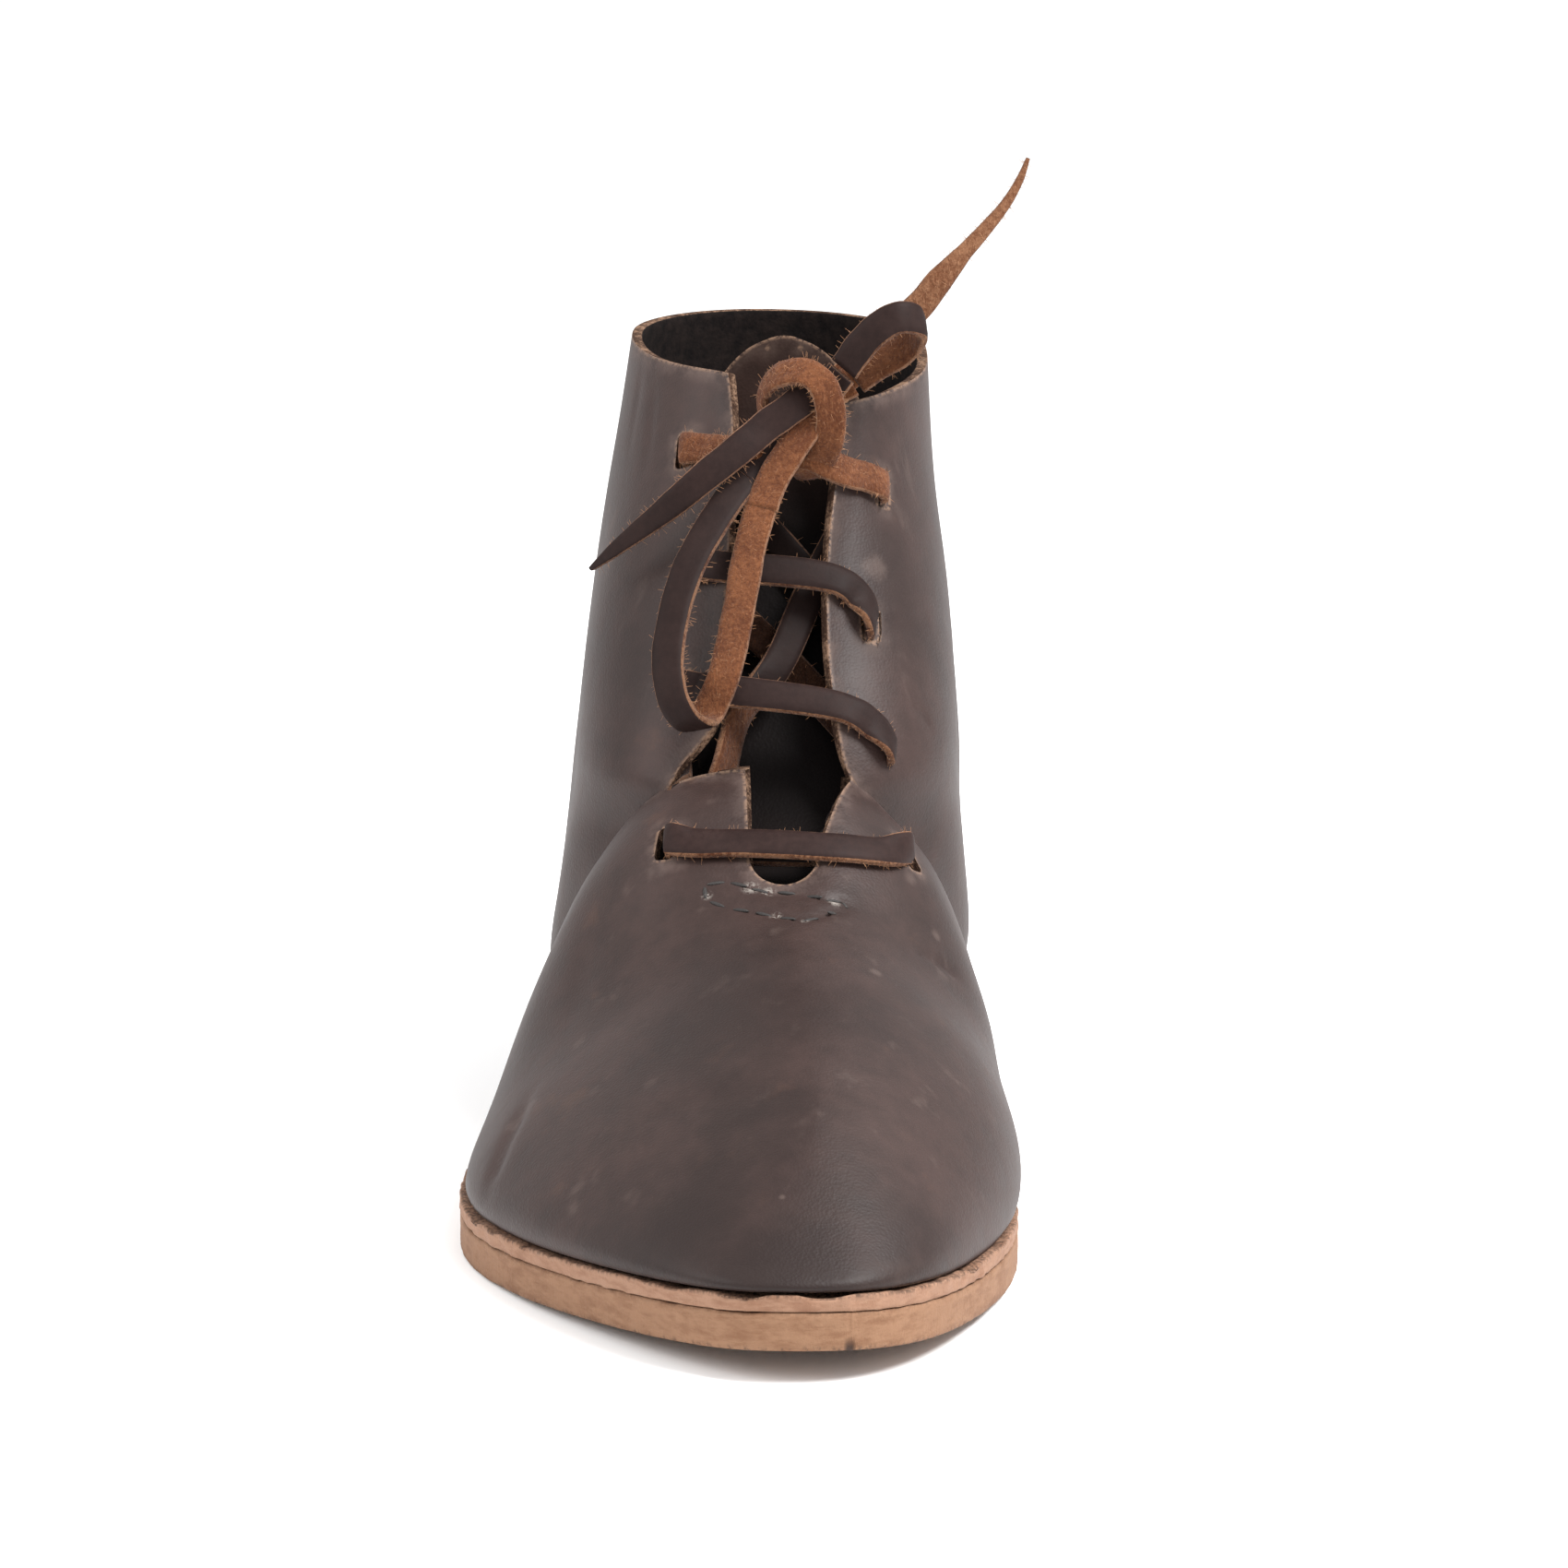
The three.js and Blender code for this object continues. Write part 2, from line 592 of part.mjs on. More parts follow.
function tongueSections() {
  const steps = 18;
  const columns = 6;
  const roundFrom = 0.87;
  return counted(steps, (share) => {
    const reach = Math.sin(share * 1.45) / Math.sin(1.45);
    const read = (column) => readTable(tongueRows, 'reach', column, reach);
    const y = alongToY(read('along'));
    const heldHeight = ridgeHeight(y) - 2 * wall;
    const z = mix(levelHeight(read('level')), heldHeight, clamp01(read('held')));
    const roundness = Math.max(0, reach - roundFrom) / (1.004 - roundFrom);
    const half = tongueWidth * read('half') * Math.sqrt(1 - roundness ** 2);
    const upright = smooth((read('level') - 0.85) / 0.25);
    return counted(columns, (place) => {
      const across = 2 * place - 1;
      const sag = tongueSag * (across * half * 2 / tongueWidth) ** 2;
      return new THREE.Vector3(across * half, y + sag * upright, z - sag * (1 - upright));
    });
  });
}

// Width share at a place along a strap, between shares given at even steps.
function widthAt(widths, share) {
  const place = share * (widths.length - 1);
  const index = Math.min(Math.floor(place), Math.max(0, widths.length - 2));
  return mix(widths[index], widths[Math.min(index + 1, widths.length - 1)], place - index);
}

// Flat strap through points, each with the direction that its grain side faces.
function strap(stops, width, thickness, steps, widths = [1]) {
  const path = new THREE.CatmullRomCurve3(stops.map((stop) => stop.at), false, 'centripetal');
  const facing = new THREE.CatmullRomCurve3(stops.map((stop) => stop.faces), false, 'catmullrom');
  const sections = counted(steps, (share) => {
    const at = path.getPoint(share);
    const tangent = path.getTangent(share);
    const grain = facing.getPoint(share).projectOnPlane(tangent).normalize();
    const side = tangent.clone().cross(grain).multiplyScalar((width / 2) * widthAt(widths, share));
    grain.multiplyScalar(thickness / 2);
    return [[-1, -1], [-1, 1], [1, 1], [1, -1]].map(([across, up]) => (
      at.clone().addScaledVector(side, across).addScaledVector(grain, up)));
  });
  return new LoftGeometry(sections, { capStart: true, capEnd: true });
}

const knotPlace = [5.5, 29.5, 146];

// Routes of the free lace, each stop with the way that the grain side faces there.
const laceRoutes = [
  {
    name: 'lace_loop_low',
    widths: [1],
    stops: [
      { at: [-5.1, 25.5, 137.7], faces: [-0.3, -1, 0.2] },
      { at: [-8.1, 22.5, 135.5], faces: [-0.3, -1, 0.2] },
      { at: [-12.2, 17.5, 130.7], faces: [-0.3, -1, 0.2] },
      { at: [-16.4, 12.5, 124.4], faces: [-0.3, -1, 0.2] },
      { at: [-19.6, 8.0, 118.1], faces: [-0.3, -1, 0.2] },
      { at: [-21.8, 3.0, 110.8], faces: [-0.3, -1, 0.1] },
      { at: [-22.7, -2.0, 103.7], faces: [-0.3, -1, 0.1] },
      { at: [-21.7, -5.5, 97.0], faces: [-0.3, -1, 0] },
      { at: [-19.2, -6.5, 92.7], faces: [-0.2, -1, -0.6] },
      { at: [-16.4, -4.5, 91.2], faces: [0.1, -0.3, -1] },
      { at: [-14.8, -1.5, 93.1], faces: [0.2, 0.8, -0.5] },
      { at: [-11.9, 0.0, 99.8], faces: [0.2, 1, -0.3] },
      { at: [-10.1, 4.0, 106.4], faces: [0.2, 1, -0.5] },
      { at: [-8.5, 8.5, 114.0], faces: [0.2, 1, -0.5] },
      { at: [-7.1, 13.0, 121.6], faces: [0.2, 1, -0.5] },
      { at: [-5.1, 17.5, 129.2], faces: [0.2, 1, -0.5] },
      { at: [-2.6, 21.0, 135.3], faces: [0.2, 1, -0.5] },
    ],
  },
  {
    name: 'lace_end_low',
    widths: [1, 1, 0.95, 0.85, 0.68, 0.45, 0.15],
    stops: [
      { at: [-3.9, 23.6, 146.3], faces: [0, -1, 0.2] },
      { at: [-9.1, 20.8, 142.0], faces: [0, -1, 0.2] },
      { at: [-15.5, 19.0, 137.1], faces: [0, -1, 0.2] },
      { at: [-21.9, 19.2, 131.6], faces: [-0.1, -1, 0.2] },
      { at: [-27.5, 21.0, 126.9], faces: [-0.2, -1, 0.2] },
      { at: [-33.5, 24.0, 121.8], faces: [-0.3, -1, 0.2] },
      { at: [-38.4, 28.0, 117.3], faces: [-0.3, -1, 0.2] },
    ],
  },
  {
    name: 'lace_loop_high',
    widths: [1],
    stops: [
      { at: [12.0, 28.0, 157.4], faces: [-0.2, -1, 0.3] },
      { at: [15.9, 27.0, 162.9], faces: [-0.2, -1, 0.3] },
      { at: [19.8, 26.5, 166.4], faces: [-0.2, -1, 0.3] },
      { at: [23.6, 27.0, 167.8], faces: [0.1, -1, 0.3] },
      { at: [27.4, 30.3, 166.0], faces: [1, -0.2, 0.3] },
      { at: [25.6, 34.0, 162.5], faces: [0.5, 1, -0.4] },
      { at: [23.0, 34.8, 159.8], faces: [0.3, 1, -0.4] },
      { at: [18.4, 34.5, 157.4], faces: [0.2, 1, -0.4] },
      { at: [14.2, 33.5, 154.6], faces: [0.2, 1, -0.4] },
    ],
  },
  {
    name: 'lace_end_high',
    widths: [0.92, 0.92, 0.9, 0.82, 0.52, 0.42, 0.32, 0.24, 0.12],
    stops: [
      { at: [15.7, 38.5, 157.8], faces: [0, 1, 0] },
      { at: [21.3, 39.0, 163.3], faces: [0, 1, 0] },
      { at: [26.8, 39.0, 168.5], faces: [0, 1, 0] },
      { at: [31.4, 39.0, 174.2], faces: [0, 1, 0] },
      { at: [36.0, 39.0, 179.5], faces: [0, 1, 0] },
      { at: [40.5, 39.0, 184.5], faces: [0, 1, 0] },
      { at: [44.5, 39.0, 189.5], faces: [0, 1, 0] },
      { at: [47.1, 39.0, 194.1], faces: [0, 1, 0] },
      { at: [48.7, 39.0, 198.3], faces: [0, 1, 0] },
    ],
  },
];

const laceLift = laceClearance + laceThickness / 2;
const insideLift = 2 * laceClearance + laceThickness / 2;
const above = ({ point, normal }) => ({ at: point.clone().addScaledVector(normal, laceLift), faces: normal });

// The lace through one hole: outside, in the wall and inside, bending towards the boot's middle.
function holeStops(side, row) {
  const { point, normal } = holes[side][row];
  const inwards = new THREE.Vector3(-side, 0, 0).projectOnPlane(normal).normalize();
  const depth = (distance) => point.clone().addScaledVector(normal, distance);
  return [
    { at: depth(laceLift), faces: normal.clone().sub(inwards) },
    { at: depth(-wall / 2), faces: inwards.clone().negate() },
    {
      at: depth(-wall - insideLift).addScaledVector(inwards, laceClearance),
      faces: normal.clone().add(inwards).negate(),
    },
  ];
}

// Where a bar lies on the leather between its hole and the front edge.
function barRest(side, row) {
  if (row === 0) {
    const { share, rise } = vampHoles[side];
    const surface = (u, v) => vampPoint(side, u, v);
    return [mix(rise, 1, 0.22), mix(rise, 1, 0.5)].map((place) => above({
      point: surface(share, place),
      normal: surfaceNormal(surface, share, place, upwards),
    }));
  }
  const level = quarterHoleLevels[side][row - 1];
  return [0.5, 0.1].map((share) => above(quarterAtMargin(side, level, holeMargin * share)));
}

// The whole lacing between its top holes. It rises inside by way of the bars on one side, and straight
// from the vamp to the top on the other, nearer the front than the rest.
function lacingStops() {
  const placed = (across, along, level, facing) => ({
    at: new THREE.Vector3(acrossToX(across), alongToY(along), levelHeight(level)),
    faces: new THREE.Vector3(0, facing, 0),
  });
  const inside = (across, along, level) => placed(across, along, level, 1);
  const lead = (across, along, level) => placed(across, along, level, -1);
  const crossing = (fromSide, fromRow, toSide, toRow) => {
    const from = holeStops(fromSide, fromRow)[2].at;
    const to = holeStops(toSide, toRow)[2].at;
    const middle = from.clone().lerp(to, 0.5);
    return { at: middle.setY(middle.y + crossingDepth), faces: new THREE.Vector3(0, 1, 0) };
  };
  const bar = (row) => [
    ...holeStops(1, row).reverse(),
    ...barRest(1, row),
    ...barRest(-1, row).reverse(),
    ...holeStops(-1, row),
  ];
  return [
    lead(-0.039, 0.616, 1.782),
    ...[0.1, 0.5].map((share) => above(quarterAtMargin(-1, quarterHoleLevels[-1][2], holeMargin * share))),
    ...holeStops(-1, 3),
    crossing(-1, 3, 1, 2),
    ...bar(2),
    crossing(-1, 2, 1, 1),
    ...bar(1),
    inside(-0.086, 0.524, 1.065),
    inside(0.080, 0.508, 0.959),
    inside(0.123, 0.483, 0.858),
    ...bar(0),
    inside(-0.139, 0.482, 0.870),
    inside(-0.112, 0.504, 1.016),
    inside(-0.019, 0.543, 1.253),
    inside(0.053, 0.575, 1.423),
    ...holeStops(1, 3).reverse(),
    ...[0.5, 0.1].map((share) => above(quarterAtMargin(1, quarterHoleLevels[1][2], holeMargin * share))),
    lead(0.057, 0.584, 1.706),
  ];
}

const group = new THREE.Group();

function addPart(name, geometry, color, roughness) {
  const material = new THREE.MeshStandardMaterial({ color, roughness, metalness: 0 });
  const mesh = new THREE.Mesh(toGeometry(toSolid(geometry)), material);
  mesh.name = name;
  group.add(mesh);
}

const randTop = outsoleThickness + randThickness;
addPart('outsole', soleLayer(0, 0, outsoleThickness - gap), 0xb98f6d, 0.75);
addPart('rand', soleLayer(0, outsoleThickness, randTop), 0xb07e5a, 0.8);
const insoleInset = featherInset + wall + 4 * gap;
addPart('insole', soleLayer(insoleInset, feather, feather + insoleThickness), 0x5c3c28, 0.8);
addPart('upper', upperGeometry(), 0x3b2a24, 0.5);
addPart('tongue', leather(tongueSections(), tongueThickness), 0x33241f, 0.6);

addPart('lace_lacing', strap(lacingStops(), laceWidth, laceThickness, 170), 0x3a2620, 0.55);

for (const { name, stops, widths } of laceRoutes) {
  const placed = stops.map(({ at, faces }) => ({ at: new THREE.Vector3(...at), faces: new THREE.Vector3(...faces) }));
  addPart(name, strap(placed, laceWidth, laceThickness, 2 * stops.length, widths), 0x6b3f28, 0.85);
}

const knot = new THREE.SphereGeometry(1, 12, 8);
knot.scale(knotWidth / 2, knotDepth / 2, knotHeight / 2);
knot.translate(...knotPlace);
addPart('lace_knot', knot, 0x6b3f28, 0.85);

export default group;
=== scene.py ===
"""Looks of a medieval turnshoe boot, right foot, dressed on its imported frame.

Forms are worked out in millimetres in the frame of the solids: X to the medial side, Y from toe to
heel, Z up. Meshes are written in metres.
"""

import bisect
import logging
import math
import random
from dataclasses import dataclass, field
from enum import Enum
from functools import lru_cache
from typing import Callable, Iterable, Mapping, Sequence

import bmesh
import bpy
from mathutils import Matrix, Vector, noise
from mathutils.kdtree import KDTree


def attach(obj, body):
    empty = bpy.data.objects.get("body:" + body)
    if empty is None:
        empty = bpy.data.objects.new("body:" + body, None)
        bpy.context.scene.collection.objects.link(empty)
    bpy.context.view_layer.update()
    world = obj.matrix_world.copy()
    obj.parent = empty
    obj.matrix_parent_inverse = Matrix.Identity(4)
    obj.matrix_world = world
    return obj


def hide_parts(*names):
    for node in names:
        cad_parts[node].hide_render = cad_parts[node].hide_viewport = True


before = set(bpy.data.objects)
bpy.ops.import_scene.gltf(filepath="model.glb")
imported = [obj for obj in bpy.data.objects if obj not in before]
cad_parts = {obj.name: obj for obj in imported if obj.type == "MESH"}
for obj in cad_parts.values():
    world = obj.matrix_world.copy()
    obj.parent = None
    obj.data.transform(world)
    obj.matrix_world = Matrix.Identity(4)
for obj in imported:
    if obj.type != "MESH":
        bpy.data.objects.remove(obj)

LOG = logging.getLogger("turnshoe")
METRE = 0.001
BODY = "root"
GRAIN_SLOT, FLESH_SLOT, CUT_SLOT = 0, 1, 2

SHARP_ANGLE = math.radians(50)

Triple = tuple[float, float, float]
Colour = Triple
Place = Callable[[float, float], Vector]


class Side(Enum):
    """Sides of the foot, by the sign of X."""

    LATERAL = -1
    MEDIAL = 1


def clamp01(value: float) -> float:
    """Hold a number between 0 and 1."""
    return min(1.0, max(0.0, value))


def mix(start: float, end: float, share: float) -> float:
    """Read between two numbers."""
    return start + (end - start) * share


def smooth(value: float) -> float:
    """Ease a number from 0 to 1."""
    held = clamp01(value)
    return held * held * (3 - 2 * held)


@dataclass(frozen=True)
class Table:
    """Numbers in named columns, read on a smooth curve through the rows; the first column is the key."""

    columns: tuple[str, ...]
    rows: tuple[tuple[float, ...], ...]

    def read(self, column: str, place: float) -> float:
        """Read one column.

        Args:
            column: name of the column.
            place: value of the key column.

        Returns:
            The number on the curve there.
        """
        index = self.columns.index(column)
        rows = self.rows
        last = len(rows) - 1
        row = 0
        while row < last - 1 and place > rows[row + 1][0]:
            row += 1

        def slope(at: int) -> float:
            """Slope of the column at a row."""
            before, after = rows[max(0, at - 1)], rows[min(last, at + 1)]
            return (after[index] - before[index]) / (after[0] - before[0])

        start, end = rows[row], rows[row + 1]
        span = end[0] - start[0]
        t = clamp01((place - start[0]) / span)
        rest = 1 - t
        return (
            start[index] * rest * rest * (1 + 2 * t)
            + end[index] * t * t * (1 + 2 * rest)
            + span * (slope(row) * rest * rest * t - slope(row + 1) * t * t * rest)
        )


class SmoothPath:
    """Smooth curve through points, centripetal or uniform."""

    def __init__(self, points: Sequence[Vector], centripetal: bool = True) -> None:
        """Keep the points.

        Args:
            points: places that the curve passes.
            centripetal: whether its pace follows the spacing of the points.
        """
        self.points = [Vector(point) for point in points]
        self.centripetal = centripetal
        self.lengths: list[float] = []

    def at(self, share: float) -> Vector:
        """Point at a share of the curve's parameter.

        Args:
            share: share of the way, 0 to 1.

        Returns:
            The point.
        """
        points = self.points
        last = len(points) - 1
        place = clamp01(share) * last
        index = min(int(place), last - 1)
        w = place - index
        p1, p2 = points[index], points[index + 1]
        p0 = points[index - 1] if index > 0 else 2 * p1 - p2
        p3 = points[index + 2] if index + 2 <= last else 2 * p2 - p1
        if self.centripetal:
            d1 = math.sqrt((p2 - p1).length) or 1.0
            d0 = math.sqrt((p1 - p0).length) or d1
            d2 = math.sqrt((p3 - p2).length) or d1
            t1 = ((p1 - p0) / d0 - (p2 - p0) / (d0 + d1) + (p2 - p1) / d1) * d1
            t2 = ((p2 - p1) / d1 - (p3 - p1) / (d1 + d2) + (p3 - p2) / d2) * d1
        else:
            t1, t2 = (p2 - p0) / 2, (p3 - p1) / 2
        return (
            p1 * (1 - 3 * w**2 + 2 * w**3)
            + p2 * (3 * w**2 - 2 * w**3)
            + t1 * (w - 2 * w**2 + w**3)
            + t2 * (w**3 - w**2)
        )

    def heading(self, share: float) -> Vector:
        """Direction of travel at a share of the curve's parameter."""
        step = 0.0005
        return (self.at(min(1, share + step)) - self.at(max(0, share - step))).normalized()

    def at_length(self, share: float) -> Vector:
        """Point at a share of the curve's length.

        Args:
            share: share of the way, 0 to 1.

        Returns:
            The point.
        """
        steps = 200
        if not self.lengths:
            self.lengths = [0.0]
            before = self.at(0)
            for step in range(1, steps + 1):
                point = self.at(step / steps)
                self.lengths.append(self.lengths[-1] + (point - before).length)
                before = point
        target = clamp01(share) * self.lengths[-1]
        index = min(max(1, bisect.bisect_left(self.lengths, target)), steps)
        span = self.lengths[index] - self.lengths[index - 1]
        part = (target - self.lengths[index - 1]) / span if span else 0.0
        return self.at((index - 1 + part) / steps)


@dataclass(frozen=True)
class BootForm:
    """Sizes and outlines of the boot, and the surfaces that follow from them."""

    sole_length: float = 285.0
    ball_width: float = 105.0
    outsole_thickness: float = 7.0
    rand_thickness: float = 3.0
    insole_thickness: float = 2.5
    toe_spring: float = 6.3
    arch_rise: float = 2.5
    feather_inset: float = 1.5
    wall: float = 2.2
    instep_height: float = 80.5
    collar_height: float = 159.5
    collar_dip: float = 10.0
    vamp_bulge: float = 2.0
    seam_overlap: float = 1.2
    seam_step: float = 0.8
    seam_tuck: float = 2.6
    seam_roll: float = 5.0
    crest_share: float = 0.94
    throat_width: float = 13.5
    throat_length: float = 26.0
    ear_along: float = 0.486
    gap: float = 0.3
    tongue_width: float = 38.0
    tongue_sag: float = 2.2
    tongue_round: float = 0.87
    edge_flare: float = 1.5
    flare_reach: float = 0.024
    ear_lift: Mapping[Side, float] = field(default_factory=lambda: {Side.LATERAL: 1.8, Side.MEDIAL: 2.8})
    outline: Table = Table(("along", "lateral", "medial"), (
        (0.000, 0.026, 0.026), (0.010, -0.092, 0.146), (0.045, -0.197, 0.241),
        (0.105, -0.325, 0.317), (0.185, -0.467, 0.383), (0.265, -0.560, 0.415),
        (0.345, -0.585, 0.405), (0.440, -0.558, 0.357), (0.550, -0.484, 0.300),
        (0.670, -0.412, 0.274), (0.790, -0.370, 0.279), (0.890, -0.326, 0.252),
        (0.965, -0.212, 0.148), (1.000, -0.033, -0.033),
    ))
    ridge: Table = Table(("along", "height"), (
        (0.00, 0.31), (0.06, 0.41), (0.13, 0.505), (0.20, 0.60), (0.29, 0.70),
        (0.39, 0.80), (0.485, 1.005), (0.60, 1.04), (0.80, 1.06),
    ))
    swell: Table = Table(("share", "lateral", "medial"), (
        (0.0, 1.1, 1.1), (0.3, 1.9, 0.4), (0.5, 1.0, 1.3), (0.68, 0.8, 2.3),
        (0.80, 0.8, 2.4), (0.90, 0.7, 1.2), (1.0, 0.0, 0.0),
    ))
    leg: Table = Table(("level", "front", "middle", "back", "lateral", "medial", "square"), (
        (0.0, 0.450, 0.680, 0.994, -0.462, 0.352, 2.6),
        (0.5, 0.458, 0.680, 0.996, -0.436, 0.342, 2.8),
        (1.0, 0.479, 0.718, 0.985, -0.408, 0.346, 3.0),
        (1.36, 0.542, 0.760, 0.970, -0.377, 0.323, 2.7),
        (1.69, 0.605, 0.788, 0.960, -0.339, 0.296, 2.4),
        (2.0, 0.653, 0.805, 0.955, -0.303, 0.286, 2.2),
    ))
    lateral_edge: Table = Table(("level", "along", "across"), (
        (0.00, 0.556, -0.470), (0.28, 0.549, -0.455), (0.51, 0.535, -0.418),
        (0.74, 0.514, -0.352), (0.96, 0.494, -0.226), (1.03, 0.497, -0.188),
        (1.08, 0.504, -0.154), (1.13, 0.511, -0.128), (1.20, 0.520, -0.122),
        (1.50, 0.570, -0.105), (1.82, 0.629, -0.097), (2.00, 0.655, -0.112),
    ))
    medial_edge: Table = Table(("level", "along", "across"), (
        (0.00, 0.563, 0.290), (0.28, 0.548, 0.345), (0.51, 0.532, 0.332),
        (0.71, 0.512, 0.286), (0.83, 0.499, 0.232), (0.94, 0.490, 0.158),
        (1.02, 0.490, 0.116), (1.15, 0.508, 0.097), (1.30, 0.534, 0.083),
        (1.50, 0.569, 0.082), (1.75, 0.613, 0.104), (2.00, 0.655, 0.125),
    ))
    collar: Table = Table(("around", "dip"), (
        (0.00, 0.42), (0.10, 0.28), (0.25, 0.02), (0.50, 0.00), (0.72, 0.20),
        (0.85, 0.62), (1.00, 1.00),
    ))
    tongue: Table = Table(("reach", "along", "level", "held", "half"), (
        (0.00, 0.362, 0.66, 1, 0.22), (0.06, 0.390, 0.69, 1, 0.31),
        (0.15, 0.425, 0.72, 0, 0.37), (0.25, 0.472, 0.785, 0, 0.39),
        (0.34, 0.513, 0.897, 0, 0.42), (0.41, 0.534, 1.02, 0, 0.45),
        (0.53, 0.566, 1.196, 0, 0.49), (0.74, 0.624, 1.525, 0, 0.50),
        (0.91, 0.674, 1.82, 0, 0.46), (1.00, 0.693, 2.01, 0, 0.43),
    ))
    vamp_holes: Mapping[Side, tuple[float, float]] = field(default_factory=lambda: {
        Side.LATERAL: (0.839, 0.772), Side.MEDIAL: (0.870, 0.690)})
    quarter_holes: Mapping[Side, tuple[tuple[float, float], ...]] = field(default_factory=lambda: {
        Side.LATERAL: ((1.198, 8.1), (1.468, 9.0), (1.741, 12.0)),
        Side.MEDIAL: ((1.050, 10.6), (1.338, 10.3), (1.643, 13.5))})

    __hash__ = object.__hash__

    @property
    def feather(self) -> float:
        """Height of the feather line over the sole's underside."""
        return self.outsole_thickness + self.rand_thickness + self.gap

    def along_y(self, along: float) -> float:
        """Y of a share of the sole's length."""
        return (along - 0.5) * self.sole_length

    def level_z(self, level: float) -> float:
        """Height of a level of the leg.

        Args:
            level: level of the leg, 0 to 2.

        Returns:
            The height.
        """
        if level < 1:
            return mix(self.feather, self.instep_height, level)
        return mix(self.instep_height, self.collar_height, level - 1)

    def clearance(self, y: float) -> float:
        """Height of the sole's underside over the ground.

        Args:
            y: place along the boot.

        Returns:
            The height.
        """
        spring = max(0.0, (-y / self.sole_length - 0.2) / 0.3)
        arch = clamp01((y / self.sole_length - 0.035) / 0.24)
        return self.toe_spring * spring**2 + self.arch_rise * math.sin(math.pi * arch) ** 2

    @lru_cache(maxsize=None)
    def outline_point(self, side: Side, row: float, inset: float) -> Vector:
        """Point of the sole's edge.

        Args:
            side: side of the foot.
            row: row number of the outline table, with a fraction.
            inset: how far inwards the point is moved.

        Returns:
            The point in plan.
        """
        rows = self.outline.rows
        last = len(rows) - 1
        own, other = (1, 2) if side is Side.LATERAL else (2, 1)

        def at(index: int) -> Vector:
            """Outline point at a row, mirrored past the ends."""
            mirrored = index < 0 or index > last
            found = rows[-index if index < 0 else 2 * last - index if index > last else index]
            return Vector((found[other if mirrored else own] * self.ball_width, self.along_y(found[0])))

        base = min(last - 1, int(row))
        t = row - base
        a, b, c, d = (at(base + step) for step in (-1, 0, 1, 2))
        place = (
            a * (-t + 2 * t**2 - t**3) + b * (2 - 5 * t**2 + 3 * t**3)
            + c * (t + 4 * t**2 - 3 * t**3) + d * (t**3 - t**2)
        ) / 2
        heading = (
            a * (-1 + 4 * t - 3 * t**2) + b * (-10 * t + 9 * t**2)
            + c * (1 + 8 * t - 9 * t**2) + d * (3 * t**2 - 2 * t)
        ).normalized()
        return place + Vector((-heading.y, heading.x)) * (side.value * inset)

    @lru_cache(maxsize=None)
    def feather_walk(self, side: Side) -> tuple[list[Vector], list[float]]:
        """Points of one side of the feather line, toe to heel, and the length walked at each.

        Args:
            side: side of the foot.

        Returns:
            The points and the lengths.
        """
        steps = 10 * (len(self.outline.rows) - 1)
        points = [self.outline_point(side, step / 10, self.feather_inset) for step in range(steps + 1)]
        lengths = [0.0]
        for before, after in zip(points, points[1:]):
            lengths.append(lengths[-1] + (after - before).length)
        return points, lengths

    def on_feather(self, side: Side, length: float) -> Vector:
        """Point of the feather line at a walked length.

        Args:
            side: side of the foot.
            length: length walked from the toe.

        Returns:
            The point.
        """
        points, lengths = self.feather_walk(side)
        index = min(max(1, bisect.bisect_left(lengths, length)), len(lengths) - 1)
        share = clamp01((length - lengths[index - 1]) / (lengths[index] - lengths[index - 1]))
        return points[index - 1].lerp(points[index], share)

    def edge_table(self, side: Side) -> Table:
        """Front edge of a side's quarter."""
        return self.lateral_edge if side is Side.LATERAL else self.medial_edge

    @lru_cache(maxsize=None)
    def seam_length(self, side: Side) -> float:
        """Length walked from the toe to where a side's seam meets the feather line.

        Args:
            side: side of the foot.

        Returns:
            The length.
        """
        points, lengths = self.feather_walk(side)
        seam_y = self.along_y(self.edge_table(side).rows[0][1])
        return next(length for point, length in zip(points, lengths) if point.y >= seam_y)

    def crest_point(self, side: Side, level: float) -> Vector:
        """Crest of the vamp at the side seam, and above it the quarter's front edge, in plan.

        Args:
            side: side of the foot.
            level: level of the leg, 0 to 2.

        Returns:
            The point.
        """
        table = self.edge_table(side)
        on_sole = self.on_feather(side, self.seam_length(side))
        across, along = table.read("across", level), table.read("along", level)
        free = Vector((across * self.ball_width, self.along_y(along)))
        return on_sole.lerp(free, smooth(level / 0.28))

    def valley_drop(self, side: Side, level: float) -> Vector:
        """How far the side seam lies behind the vamp's crest."""
        depth = smooth(level / 0.2) * smooth((1.0 - level) / 0.2)
        return Vector((-side.value * self.seam_tuck * depth, self.seam_roll * depth))

    def ridge_z(self, y: float) -> float:
        """Height of the vamp's ridge."""
        return self.instep_height * self.ridge.read("height", y / self.sole_length + 0.5)

